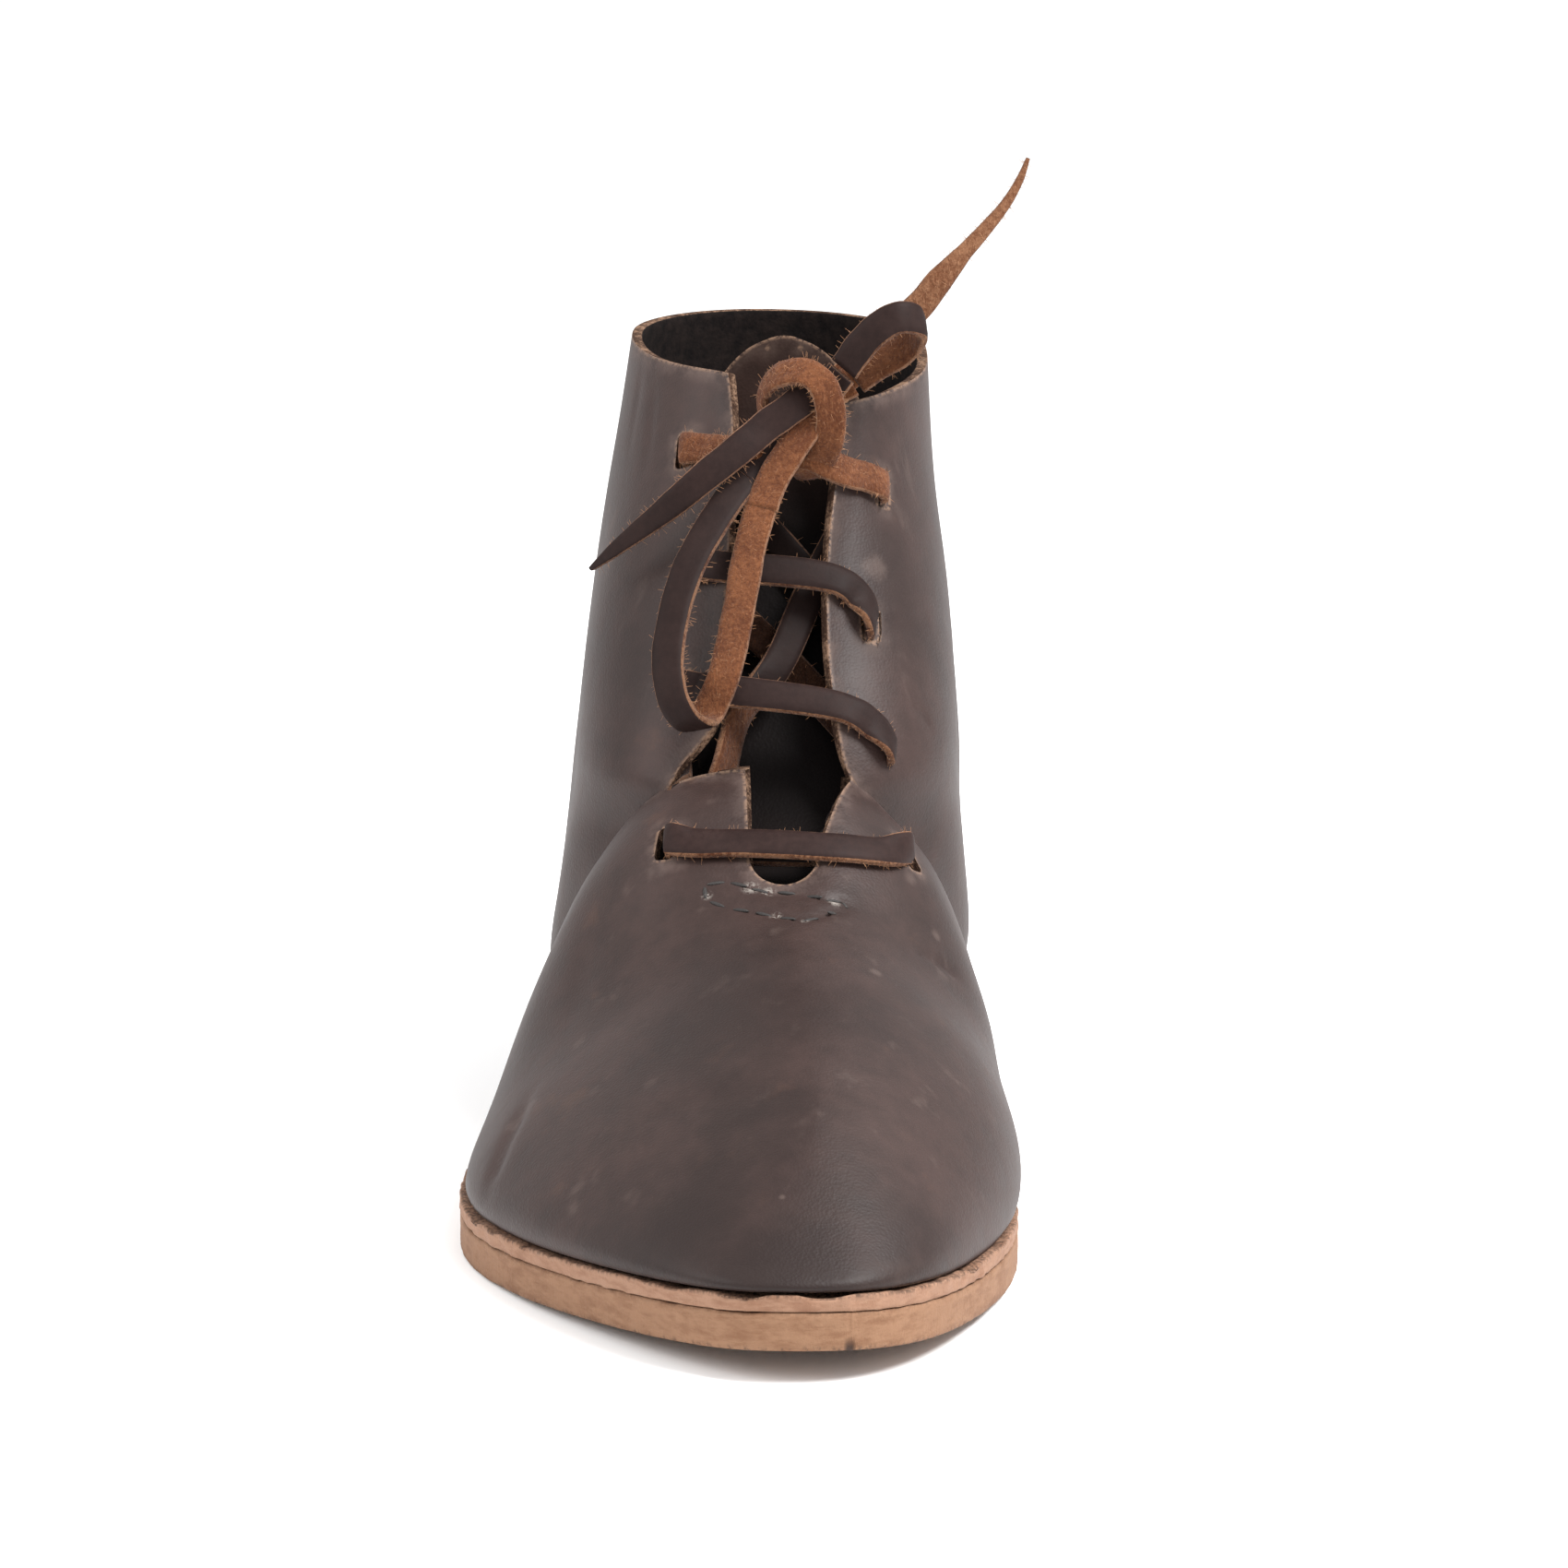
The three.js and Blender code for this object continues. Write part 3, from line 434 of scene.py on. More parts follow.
    def plain_rib(self, side: Side, share: float, rise: float) -> Vector:
        """Plain rib of the vamp, from the feather line (rise 0) to the ridge (rise 1).

        Args:
            side: side of the foot.
            share: 0 at the toe, 1 at the vamp's rear.
            rise: share of the way up, 0 to 1.

        Returns:
            The point.
        """
        foot = self.on_feather(side, share * self.seam_length(side))
        top = Vector((
            mix(6, 0, smooth(share)),
            mix(self.along_y(0.125), self.along_y(self.ear_along), share**1.6),
        ))
        square = mix(1.85, 1.36 if side is Side.LATERAL else 1.84, smooth(share / 0.6))
        across, upwards = max(0.0, math.cos(rise * math.pi / 2)), math.sin(rise * math.pi / 2)
        reach = (across**square + upwards**square) ** (-1 / square)
        out, up = across * reach, upwards * reach
        plan = top.lerp(foot, out)
        column = "lateral" if side is Side.LATERAL else "medial"
        swell = self.vamp_bulge * self.swell.read(column, share)
        bulge = swell * 3.08 * max(0.0, up) ** 0.5 * max(0.0, 1 - up) ** 1.5
        plan = plan + (foot - top).normalized() * bulge
        bottom = self.feather + self.clearance(plan.y)
        return Vector((plan.x, plan.y, mix(bottom, self.ridge_z(plan.y), up)))

    @lru_cache(maxsize=None)
    def rear_curve(self, side: Side, at_seam: bool) -> SmoothPath:
        """Curve up one side of the vamp near its rear, then over the instep by way of the ear.

        Args:
            side: side of the foot.
            at_seam: whether it lies in the seam's valley or on the crest.

        Returns:
            The curve.
        """
        points = []
        for row in self.edge_table(side).rows:
            level = row[0]
            if level >= 0.97:
                break
            plan = self.crest_point(side, level)
            if at_seam:
                plan = plan + self.valley_drop(side, level)
            points.append(Vector((plan.x, plan.y, self.level_z(level))))
        points[0].z = self.feather + self.clearance(points[0].y)
        ear_y = self.along_y(self.ear_along)
        points.append(Vector((side.value * self.throat_width * 0.7, ear_y, self.instep_height)))
        points.append(Vector((0, ear_y, self.instep_height)))
        return SmoothPath(points)

    @lru_cache(maxsize=None)
    def rear_point(self, side: Side, at_seam: bool, rise: float) -> Vector:
        """Point of a rear curve at a share of its length."""
        return self.rear_curve(side, at_seam).at_length(rise)

    @lru_cache(maxsize=None)
    def rear_rib(self, side: Side, rise: float) -> Vector:
        """Plain rib at the vamp's rear."""
        return self.plain_rib(side, 1, rise)

    def vamp_point(self, side: Side, share: float, rise: float) -> Vector:
        """Outer face of the vamp.

        Args:
            side: side of the foot.
            share: 0 at the toe, 1 at the side seam.
            rise: 0 at the feather line, 1 on the ridge.

        Returns:
            The point.
        """
        rib_share = min(1.0, share / self.crest_share)
        rib = self.plain_rib(side, rib_share, rise)
        fade = smooth((rib_share - 0.62) / 0.38)
        if fade == 0:
            return rib
        crest = self.rear_point(side, False, rise)
        rib = rib + (crest - self.rear_rib(side, rise)) * fade
        rib.z += self.ear_lift[side] * smooth((share - 0.88) / 0.12) * smooth((rise - 0.72) / 0.2)
        if share <= self.crest_share:
            return rib
        roll = (share - self.crest_share) / (1 - self.crest_share)
        drop = self.rear_point(side, True, rise) - crest
        return rib + Vector((drop.x * roll**2, drop.y * roll, drop.z * roll**2))

    @lru_cache(maxsize=None)
    def leg_row(self, level: float) -> tuple[float, ...]:
        """Middle x, half width, middle y, front and back reach and squareness of the leg's oval.

        Args:
            level: level of the leg, 0 to 2.

        Returns:
            The six numbers.
        """
        read = {name: self.leg.read(name, level) for name in self.leg.columns[1:]}
        middle_y = self.along_y(read["middle"])
        return (
            (read["lateral"] + read["medial"]) / 2 * self.ball_width,
            (read["medial"] - read["lateral"]) / 2 * self.ball_width,
            middle_y,
            middle_y - self.along_y(read["front"]),
            self.along_y(read["back"]) - middle_y,
            read["square"],
        )

    def leg_oval(self, level: float, turn: float) -> Vector:
        """Point of the leg's oval, turned from the front over the lateral side round the heel.

        Args:
            level: level of the leg, 0 to 2.
            turn: the turn in radians.

        Returns:
            The point.
        """
        middle_x, half, middle_y, front, back, square = self.leg_row(level)
        across, ahead = math.sin(turn), math.cos(turn)
        power = square if ahead > 0 else 2
        reach = (abs(across) ** power + abs(ahead) ** power) ** (-1 / power)
        length = front if ahead > 0 else back
        return Vector((middle_x - across * reach * half, middle_y - ahead * reach * length))

    def turn_towards(self, level: float, point: Vector) -> float:
        """Turn at which the leg's oval looks towards a point."""
        middle_x, half, middle_y, front, _, _ = self.leg_row(level)
        return math.atan2((middle_x - point.x) / half, (middle_y - point.y) / front)

    @lru_cache(maxsize=None)
    def heel_fan(self) -> tuple[list[float], list[Vector], Vector]:
        """Feather line round the heel, by its angle seen from the heel seat's middle.

        Returns:
            The angles, the points at them and the middle.
        """
        middle = Vector((-0.045 * self.ball_width, self.along_y(0.68)))
        lateral = [p for p in self.feather_walk(Side.LATERAL)[0] if p.y > self.along_y(0.4)]
        medial = [p for p in self.feather_walk(Side.MEDIAL)[0] if p.y > self.along_y(0.4)]
        points = lateral + medial[::-1][1:]
        angles = [math.atan2(middle.x - p.x, middle.y - p.y) % (2 * math.pi) for p in points]
        return angles, points, middle

    def feather_towards(self, turn: float) -> Vector:
        """Where the ray to the lowest oval's point crosses the feather line.

        Args:
            turn: turn of the lowest oval's point.

        Returns:
            The point.
        """
        angles, points, middle = self.heel_fan()
        aim = self.leg_oval(0, turn)
        angle = math.atan2(middle.x - aim.x, middle.y - aim.y) % (2 * math.pi)
        index = min(max(1, bisect.bisect_left(angles, angle)), len(angles) - 1)
        share = clamp01((angle - angles[index - 1]) / (angles[index] - angles[index - 1]))
        return points[index - 1].lerp(points[index], share)

    @lru_cache(maxsize=None)
    def quarter_point(self, around: float, rise: float) -> Vector:
        """Outer face of the quarters.

        Args:
            around: 0 at the lateral front edge, 1 at the medial one.
            rise: 0 at the feather line, 1 at the collar.

        Returns:
            The point.
        """
        dip = self.collar_dip * self.collar.read("dip", around)
        level = rise * (2 - dip / (self.collar_height - self.instep_height))
        lateral = self.crest_point(Side.LATERAL, level)
        medial = self.crest_point(Side.MEDIAL, level)
        first = self.turn_towards(level, lateral)
        last = 2 * math.pi + self.turn_towards(level, medial)
        turn = mix(first, last, around)
        plan = self.leg_oval(level, turn)
        plan = plan + (lateral - self.leg_oval(level, first)) * smooth(1 - around / 0.2)
        plan = plan + (medial - self.leg_oval(level, last)) * smooth((around - 0.8) / 0.2)
        plan = plan + self.valley_drop(Side.LATERAL, level) * smooth(1 - around / 0.09)
        plan = plan + self.valley_drop(Side.MEDIAL, level) * smooth((around - 0.91) / 0.09)
        spread = math.sin(math.pi / 2 * clamp01(level / 0.5))
        plan = self.feather_towards(turn).lerp(plan, spread)
        flare = self.edge_flare * smooth((level - 1.0) / 0.15)
        for away in (around, 1 - around):
            plan.y -= flare * max(0.0, 1 - away / self.flare_reach) ** 2
        under_side = smooth(1 - around / 0.05) - smooth((around - 0.95) / 0.05)
        under_vamp = smooth((1.02 - level) / 0.08) * smooth(level / 0.1)
        plan.x += self.seam_step * under_side * under_vamp
        plan.y -= self.seam_overlap * abs(under_side) * under_vamp
        lift = self.clearance(plan.y) * (1 - clamp01(level))
        return Vector((plan.x, plan.y, self.level_z(level) + lift))

    def tongue_point(self, across: float, reach: float) -> Vector:
        """Front face of the tongue, across from -1 to 1 and up from 0 to 1.

        Args:
            across: -1 to 1 over its width.
            reach: 0 to 1 up its length.

        Returns:
            The point.
        """
        y = self.along_y(self.tongue.read("along", reach))
        level = self.tongue.read("level", reach)
        held = self.ridge_z(y) - 2 * self.wall
        z = mix(self.level_z(level), held, clamp01(self.tongue.read("held", reach)))
        roundness = max(0.0, reach - self.tongue_round) / (1.004 - self.tongue_round)
        half = self.tongue_width * self.tongue.read("half", reach) * math.sqrt(1 - roundness**2)
        upright = smooth((level - 0.85) / 0.25)
        sag = self.tongue_sag * (across * half * 2 / self.tongue_width) ** 2
        return Vector((across * half, y + sag * upright, z - sag * (1 - upright)))

    def hole(self, side: Side, row: int) -> tuple[Vector, Vector]:
        """Middle of a lace hole on the outer face and the outward direction there.

        Args:
            side: side of the foot.
            row: 0 on the vamp, 1 to 3 up the quarter.

        Returns:
            The point and the direction.
        """
        if row == 0:
            share, rise = self.vamp_holes[side]
            return self.on_vamp(side, share, rise)
        return self.at_margin(side, *self.quarter_holes[side][row - 1])

    def on_vamp(self, side: Side, share: float, rise: float) -> tuple[Vector, Vector]:
        """Point of the vamp and the outward direction there.

        Args:
            side: side of the foot.
            share: 0 at the toe, 1 at the side seam.
            rise: share of the way up, 0 to 1.

        Returns:
            The point and the direction.
        """
        step = 0.004
        along = self.vamp_point(side, share + step, rise) - self.vamp_point(side, share - step, rise)
        up = self.vamp_point(side, share, min(1, rise + step)) - self.vamp_point(side, share, rise - step)
        normal = along.cross(up).normalized()
        return self.vamp_point(side, share, rise), normal if normal.z > 0 else -normal

    @lru_cache(maxsize=None)
    def at_margin(self, side: Side, level: float, margin: float) -> tuple[Vector, Vector]:
        """Point of a quarter at a level and a distance from its front edge, and the direction there.

        Args:
            side: side of the foot.
            level: level of the leg, 0 to 2.
            margin: distance from the front edge.

        Returns:
            The point and the direction.
        """
        start = 0.0 if side is Side.LATERAL else 1.0
        dip = self.collar_dip * self.collar.read("dip", start)
        rise = level / (2 - dip / (self.collar_height - self.instep_height))
        around, walked = start, 0.0
        point = self.quarter_point(around, rise)
        while walked < margin:
            around -= side.value * 0.002
            ahead = self.quarter_point(around, rise)
            walked += (ahead - point).length
            point = ahead
        step = 0.004
        along = self.quarter_point(min(1.0, around + step), rise)
        along = along - self.quarter_point(max(0.0, around - step), rise)
        up = self.quarter_point(around, rise + step) - self.quarter_point(around, rise - step)
        normal = along.cross(up).normalized()
        outwards = Vector((side.value * 0.5, -1, 0.3))
        return point, normal if normal.dot(outwards) > 0 else -normal


FORM = BootForm()


class Wire:
    """One value of a shader, written in Python expressions."""

    def __init__(self, sheet: "ShaderSheet", socket: bpy.types.NodeSocket) -> None:
        """Keep the socket and the sheet that it is on."""
        self.sheet = sheet
        self.socket = socket

    def __add__(self, other: "Wire | float") -> "Wire":
        """Sum."""
        return self.sheet.maths("ADD", self, other)

    __radd__ = __add__

    def __sub__(self, other: "Wire | float") -> "Wire":
        """Difference."""
        return self.sheet.maths("SUBTRACT", self, other)

    def __rsub__(self, other: float) -> "Wire":
        """Difference, the other way."""
        return self.sheet.maths("SUBTRACT", other, self)

    def __mul__(self, other: "Wire | float") -> "Wire":
        """Product."""
        return self.sheet.maths("MULTIPLY", self, other)

    __rmul__ = __mul__

    def __pow__(self, other: float) -> "Wire":
        """Power."""
        return self.sheet.maths("POWER", self, other)

    def above(self, low: float, high: float) -> "Wire":
        """Ease from 0 to 1 while the value goes from low to high."""
        return self.ease(low, high, 0.0, 1.0)

    def below(self, low: float, high: float) -> "Wire":
        """Ease from 1 to 0 while the value goes from low to high."""
        return self.ease(low, high, 1.0, 0.0)

    def ease(self, low: float, high: float, start: float, end: float) -> "Wire":
        """Ease between two numbers.

        Args:
            low: value up to which the start holds.
            high: value from which the end holds.
            start: number at the low value.
            end: number at the high value.

        Returns:
            The wire of the eased number.
        """
        return self.sheet.node(
            "ShaderNodeMapRange",
            {"interpolation_type": "SMOOTHSTEP"},
            {"Value": self, "From Min": low, "From Max": high, "To Min": start, "To Max": end},
        )


class ShaderSheet:
    """Node sheet of one material."""

    def __init__(self, name: str) -> None:
        """Start an empty sheet.

        Args:
            name: name of the material.
        """
        self.material = bpy.data.materials.new(name)
        self.material.use_nodes = True
        self.tree = self.material.node_tree
        self.tree.nodes.clear()
        self.coordinates: Wire | None = None

    def node(
        self,
        kind: str,
        settings: Mapping[str, object] | None = None,
        inputs: Mapping[str | int, object] | None = None,
        output: str | int = 0,
    ) -> Wire:
        """Make a node.

        Args:
            kind: the node's type.
            settings: its settings, set first; "stops" holds a ramp's places and colours.
            inputs: values or wires of its sockets, by name or number.
            output: the output socket wanted.

        Returns:
            The wire of that output.
        """
        node = self.tree.nodes.new(kind)
        for name, value in (settings or {}).items():
            if name == "stops":
                ramp = node.color_ramp
                while len(ramp.elements) < len(value):
                    ramp.elements.new(0.5)
                for element, (place, colour) in zip(ramp.elements, value):
                    element.position = place
                    element.color = (*colour, 1)
            else:
                setattr(node, name, value)
        for name, value in (inputs or {}).items():
            socket = node.inputs[name]
            if isinstance(value, Wire):
                self.tree.links.new(value.socket, socket)
            elif isinstance(value, tuple) and len(value) == 3 and socket.type == "RGBA":
                socket.default_value = (*value, 1)
            else:
                socket.default_value = value
        return Wire(self, node.outputs[output])

    def maths(self, operation: str, first: Wire | float, second: Wire | float) -> Wire:
        """Number worked out of two numbers."""
        return self.node("ShaderNodeMath", {"operation": operation}, {0: first, 1: second})

    def blend(self, share: Wire | float, first: Wire | Colour, second: Wire | Colour) -> Wire:
        """Colour between two colours.

        Args:
            share: share of the second colour.
            first: first colour.
            second: second colour.

        Returns:
            The wire of the colour.
        """
        return self.node(
            "ShaderNodeMix", {"data_type": "RGBA", "clamp_factor": True}, {0: share, 6: first, 7: second}, 2
        )

    def place(self, stretch: Triple = (1, 1, 1)) -> Wire:
        """Object coordinates, in metres, stretched along the axes.

        Args:
            stretch: factor along each axis.

        Returns:
            The wire of the place.
        """
        if self.coordinates is None:
            self.coordinates = self.node("ShaderNodeTexCoord", output="Object")
        if stretch == (1, 1, 1):
            return self.coordinates
        return self.node("ShaderNodeMapping", None, {"Vector": self.coordinates, "Scale": stretch})

    def fleck(self, size: float, detail: float = 3, rough: float = 0.55, stretch: Triple = (1, 1, 1)) -> Wire:
        """Cloudy noise.

        Args:
            size: size of its clouds in millimetres.
            detail: number of finer layers.
            rough: strength of the finer layers.
            stretch: how much faster it changes along each axis.

        Returns:
            The wire of the noise, about 0.5 on average.
        """
        return self.node(
            "ShaderNodeTexNoise",
            None,
            {
                "Vector": self.place(stretch), "Scale": 1 / (size * METRE),
                "Detail": detail, "Roughness": rough,
            },
        )

    def cells(self, size: float) -> Wire:
        """Distance to the middle of the nearest cell."""
        return self.node("ShaderNodeTexVoronoi", None, {"Vector": self.place(), "Scale": 1 / (size * METRE)})

    def spot(self, middle: Triple, radius: float, ragged: Wire) -> Wire:
        """Soft ragged patch round a point.

        Args:
            middle: its middle in millimetres.
            radius: its radius in millimetres.
            ragged: noise that frays its border.

        Returns:
            1 in the middle of the patch, 0 outside.
        """
        away = self.node(
            "ShaderNodeVectorMath", {"operation": "DISTANCE"},
            {0: self.place(), 1: tuple(value * METRE for value in middle)}, "Value",
        )
        return (away * (1 / (radius * METRE)) + ragged * 1.6 - 0.8).below(0.2, 1.0)

    def attribute(self, name: str) -> Wire:
        """Number kept on the mesh."""
        return self.node("ShaderNodeAttribute", {"attribute_name": name}, output="Fac")

    def finish(
        self,
        colour: Wire | Colour,
        roughness: Wire | float,
        height: Wire | None = None,
        depth: float = 0.1,
        coat: float = 0.0,
        specular: float = 0.5,
        sheen: float = 0.0,
    ) -> bpy.types.Material:
        """Close the sheet with a surface.

        Args:
            colour: base colour.
            roughness: surface roughness.
            height: relief from 0 to 1.
            depth: depth of the relief in millimetres.
            coat: weight of a waxed coat.
            specular: strength of the reflection.
            sheen: weight of the nap's sheen.

        Returns:
            The material.
        """
        inputs: dict[str | int, object] = {
            "Base Color": colour,
            "Roughness": roughness,
            "Coat Weight": coat,
            "Coat Roughness": 0.3,
            "Specular IOR Level": specular,
            "Sheen Weight": sheen,
            "Sheen Roughness": 0.5,
        }
        if height is not None:
            inputs["Normal"] = self.node(
                "ShaderNodeBump", None, {"Strength": 1.0, "Distance": depth * METRE, "Height": height}
            )
        surface = self.node("ShaderNodeBsdfPrincipled", None, inputs)
        out = self.tree.nodes.new("ShaderNodeOutputMaterial")
        self.tree.links.new(surface.socket, out.inputs["Surface"])
        return self.material


@dataclass(frozen=True)
class UpperLeather:
    """Dark chocolate cowhide: smooth grain outside, pale fuzzy cut edges, and a dark flesh side inside, made
    near-black partly as painted shade.
    """

    deep: Colour = (0.0175, 0.0092, 0.0076)
    light: Colour = (0.0365, 0.0200, 0.0170)
    rubbed: Colour = (0.115, 0.082, 0.070)
    rust: Colour = (0.075, 0.036, 0.022)
    # Inner side's colours: a dark flesh, made near-black partly as painted shade of the boot's inside.
    inside: Colour = (0.0045, 0.0036, 0.0036)
    inside_light: Colour = (0.013, 0.009, 0.008)
    wax: Colour = (0.330, 0.300, 0.270)
    shadow: Colour = (0.012, 0.006, 0.005)
    shine: float = 0.20
    coat: float = 0.03
    roughness: float = 0.47
    relief: float = 0.13
    # Painted shade: height below which the grain is darkened towards the inner side's colour, and the width
    # of that fade, in millimetres.
    shade_below: float = 0.0
    shade_fade: float = 12.0
    edge: Colour = (0.210, 0.128, 0.084)
    edge_dark: Colour = (0.036, 0.020, 0.014)

    def grain(
        self,
        name: str,
        scuffs: Sequence[tuple[Triple, float]] = (),
        waxed: Sequence[tuple[Triple, float]] = (),
        shade_patches: Sequence[tuple[Triple, float, float]] = (),
    ) -> bpy.types.Material:
        """Outer side.

        Args:
            name: name of the material.
            scuffs: middles and radii of pale scuffed places, in millimetres.
            waxed: middles and radii of spots of dried wax.
            shade_patches: middles, radii and shares of places darkened towards the shadow colour, as painted
                shade.

        Returns:
            The material.
        """
        sheet = ShaderSheet(name)
        cloud = sheet.fleck(38, 5, 0.6)
        fine = sheet.fleck(5, 5, 0.65)
        pores = sheet.cells(0.55)
        grit = sheet.fleck(0.9, 2)
        streak = sheet.fleck(7, 3, 0.6, (1, 1, 0.16))
        colour = sheet.blend((cloud * 0.7 + fine * 0.5 - 0.1).above(0.25, 0.8), self.deep, self.light)
        colour = sheet.blend(streak.above(0.60, 0.78) * 0.22, colour, self.rubbed)
        colour = sheet.blend(sheet.fleck(13, 4).above(0.64, 0.74) * 0.18, colour, self.rust)
        worn = sheet.attribute("edge").below(0.2, 4.0) * fine.above(0.32, 0.66)
        colour = sheet.blend(worn * 0.45, colour, self.rubbed)
        # Painted shade: soft patches blended towards the shadow colour.
        for middle, radius, share in shade_patches:
            colour = sheet.blend(sheet.spot(middle, radius, cloud) * share, colour, self.shadow)
        frayed = sheet.attribute("edge").below(0.05, 0.9) * grit.above(0.36, 0.58)
        colour = sheet.blend(frayed * 0.6, colour, self.edge)
        # Painted shade: below a given height the grain is darkened towards the inner side's colour, for the
        # tongue's lower part down in the throat.
        if self.shade_below:
            up = sheet.node("ShaderNodeSeparateXYZ", None, {"Vector": sheet.place()}, "Z")
            low, high = self.shade_below - self.shade_fade, self.shade_below + self.shade_fade
            colour = sheet.blend(up.below(low * METRE, high * METRE) * 0.9, colour, self.inside)
        for middle, radius in scuffs:
            colour = sheet.blend(sheet.spot(middle, radius, fine) * 0.3, colour, self.rubbed)
        for middle, radius in waxed:
            spot = sheet.spot(middle, radius, grit) * grit.above(0.42, 0.6)
            colour = sheet.blend(spot * 0.7, colour, self.wax)
        rough = self.roughness + fine * 0.14 + worn * 0.12
        height = pores * 0.35 + grit * 0.25 + fine * 0.9 + cloud * 1.2
        return sheet.finish(colour, rough, height, self.relief, coat=self.coat, specular=self.shine)

    def flesh(self, name: str) -> bpy.types.Material:
        """Inner side.

        Args:
            name: name of the material.

        Returns:
            The material.
        """
        sheet = ShaderSheet(name)
        fine = sheet.fleck(3, 5, 0.7)
        colour = sheet.blend(fine.above(0.3, 0.7), self.inside, self.inside_light)
        return sheet.finish(colour, 0.95, fine, 0.35, specular=0.08)

    def cut(self, name: str) -> bpy.types.Material:
        """Cut edge, with fibres standing out of it.

        Args:
            name: name of the material.

        Returns:
            The material.
        """
        sheet = ShaderSheet(name)
        fibre = sheet.fleck(0.7, 3, 0.7)
        patch = sheet.fleck(5, 3)
        colour = sheet.blend((fibre * 0.6 + patch * 0.6 - 0.1).above(0.42, 0.68), self.edge_dark, self.edge)
        return sheet.finish(colour, 0.95, fibre, 0.5, specular=0.04)


@dataclass(frozen=True)
class SoleLeather:
    """Oak-tanned sole leather, brushed brown in patches."""

    pale: Colour = (0.242, 0.137, 0.080)
    tan: Colour = (0.150, 0.071, 0.036)
    burnt: Colour = (0.120, 0.045, 0.018)
    dark: Colour = (0.035, 0.018, 0.012)
    nick_x: float = 0.0113
    toe_y: tuple[float, float] = (-0.12, -0.11)

    def edge(self, name: str, top: float, fuzzy: float, nick: bool = False) -> bpy.types.Material:
        """Edge and faces of one layer.

        Args:
            name: name of the material.
            top: height of the layer's upper edge over the sole's underside, in millimetres.
            fuzzy: how dark the fibres at the upper edge are.
            nick: whether a cut stands in the toe's edge.

        Returns:
            The material.
        """
        sheet = ShaderSheet(name)
        height = sheet.attribute("height")
        broad = sheet.fleck(26, 4, 0.6)
        brushed = sheet.fleck(5, 5, 0.7, (1, 1, 3.4))
        fibre = sheet.fleck(0.8, 3, 0.7)
        upright = sheet.fleck(0.9, 3, 0.7, (1, 1, 0.3))
        colour = sheet.blend((broad * 0.5 + brushed * 0.8 - 0.15).above(0.3, 0.7), self.tan, self.pale)
        colour = sheet.blend((broad * 0.6 + brushed * 0.6).above(0.58, 0.82) * 0.7, colour, self.burnt)
        colour = sheet.blend(fibre.above(0.56, 0.75) * 0.25, colour, self.pale)
        low = height.below(0.1, 1.3) * upright.above(0.5, 0.62)
        colour = sheet.blend(low * 0.65, colour, self.dark)
        high = height.above(top - 1.0, top) * upright.above(0.42, 0.6)
        colour = sheet.blend(high * fuzzy, colour, self.dark)
        relief = brushed * 0.6 + fibre * 0.5 + upright * 0.4
        if nick:
            across = sheet.node("ShaderNodeSeparateXYZ", None, {"Vector": sheet.place()}, "X")
            ahead = sheet.node("ShaderNodeSeparateXYZ", None, {"Vector": sheet.place()}, "Y")
            wander = sheet.maths("ABSOLUTE", across - self.nick_x + (upright - 0.5) * 0.0006, 0.0)
            toe = ahead.below(*self.toe_y)
            cut = wander.below(0.0001, 0.0005) * toe
            wedge = wander.below(0.0002, 0.0012) * height.below(0.4, 2.6) * toe
            # The cut line takes a little burnt colour; the wedge is darkened fully towards the dark colour,
            # as painted shade in the nick's opening, and is also pressed in.
            colour = sheet.blend(cut * 0.12, colour, self.burnt)
            colour = sheet.blend(wedge, colour, self.dark)
            relief = relief - cut * 0.2 - wedge * 2.0
        return sheet.finish(colour, 0.74 + brushed * 0.12, relief, 0.35, specular=0.3)

    def bed(self, name: str) -> bpy.types.Material:
        """Darkened insole.

        Args:
            name: name of the material.

        Returns:
            The material.
        """
        sheet = ShaderSheet(name)
        cloud = sheet.fleck(12, 5, 0.6)
        return sheet.finish(sheet.blend(cloud, self.dark, self.burnt), 0.8, cloud, 0.2)


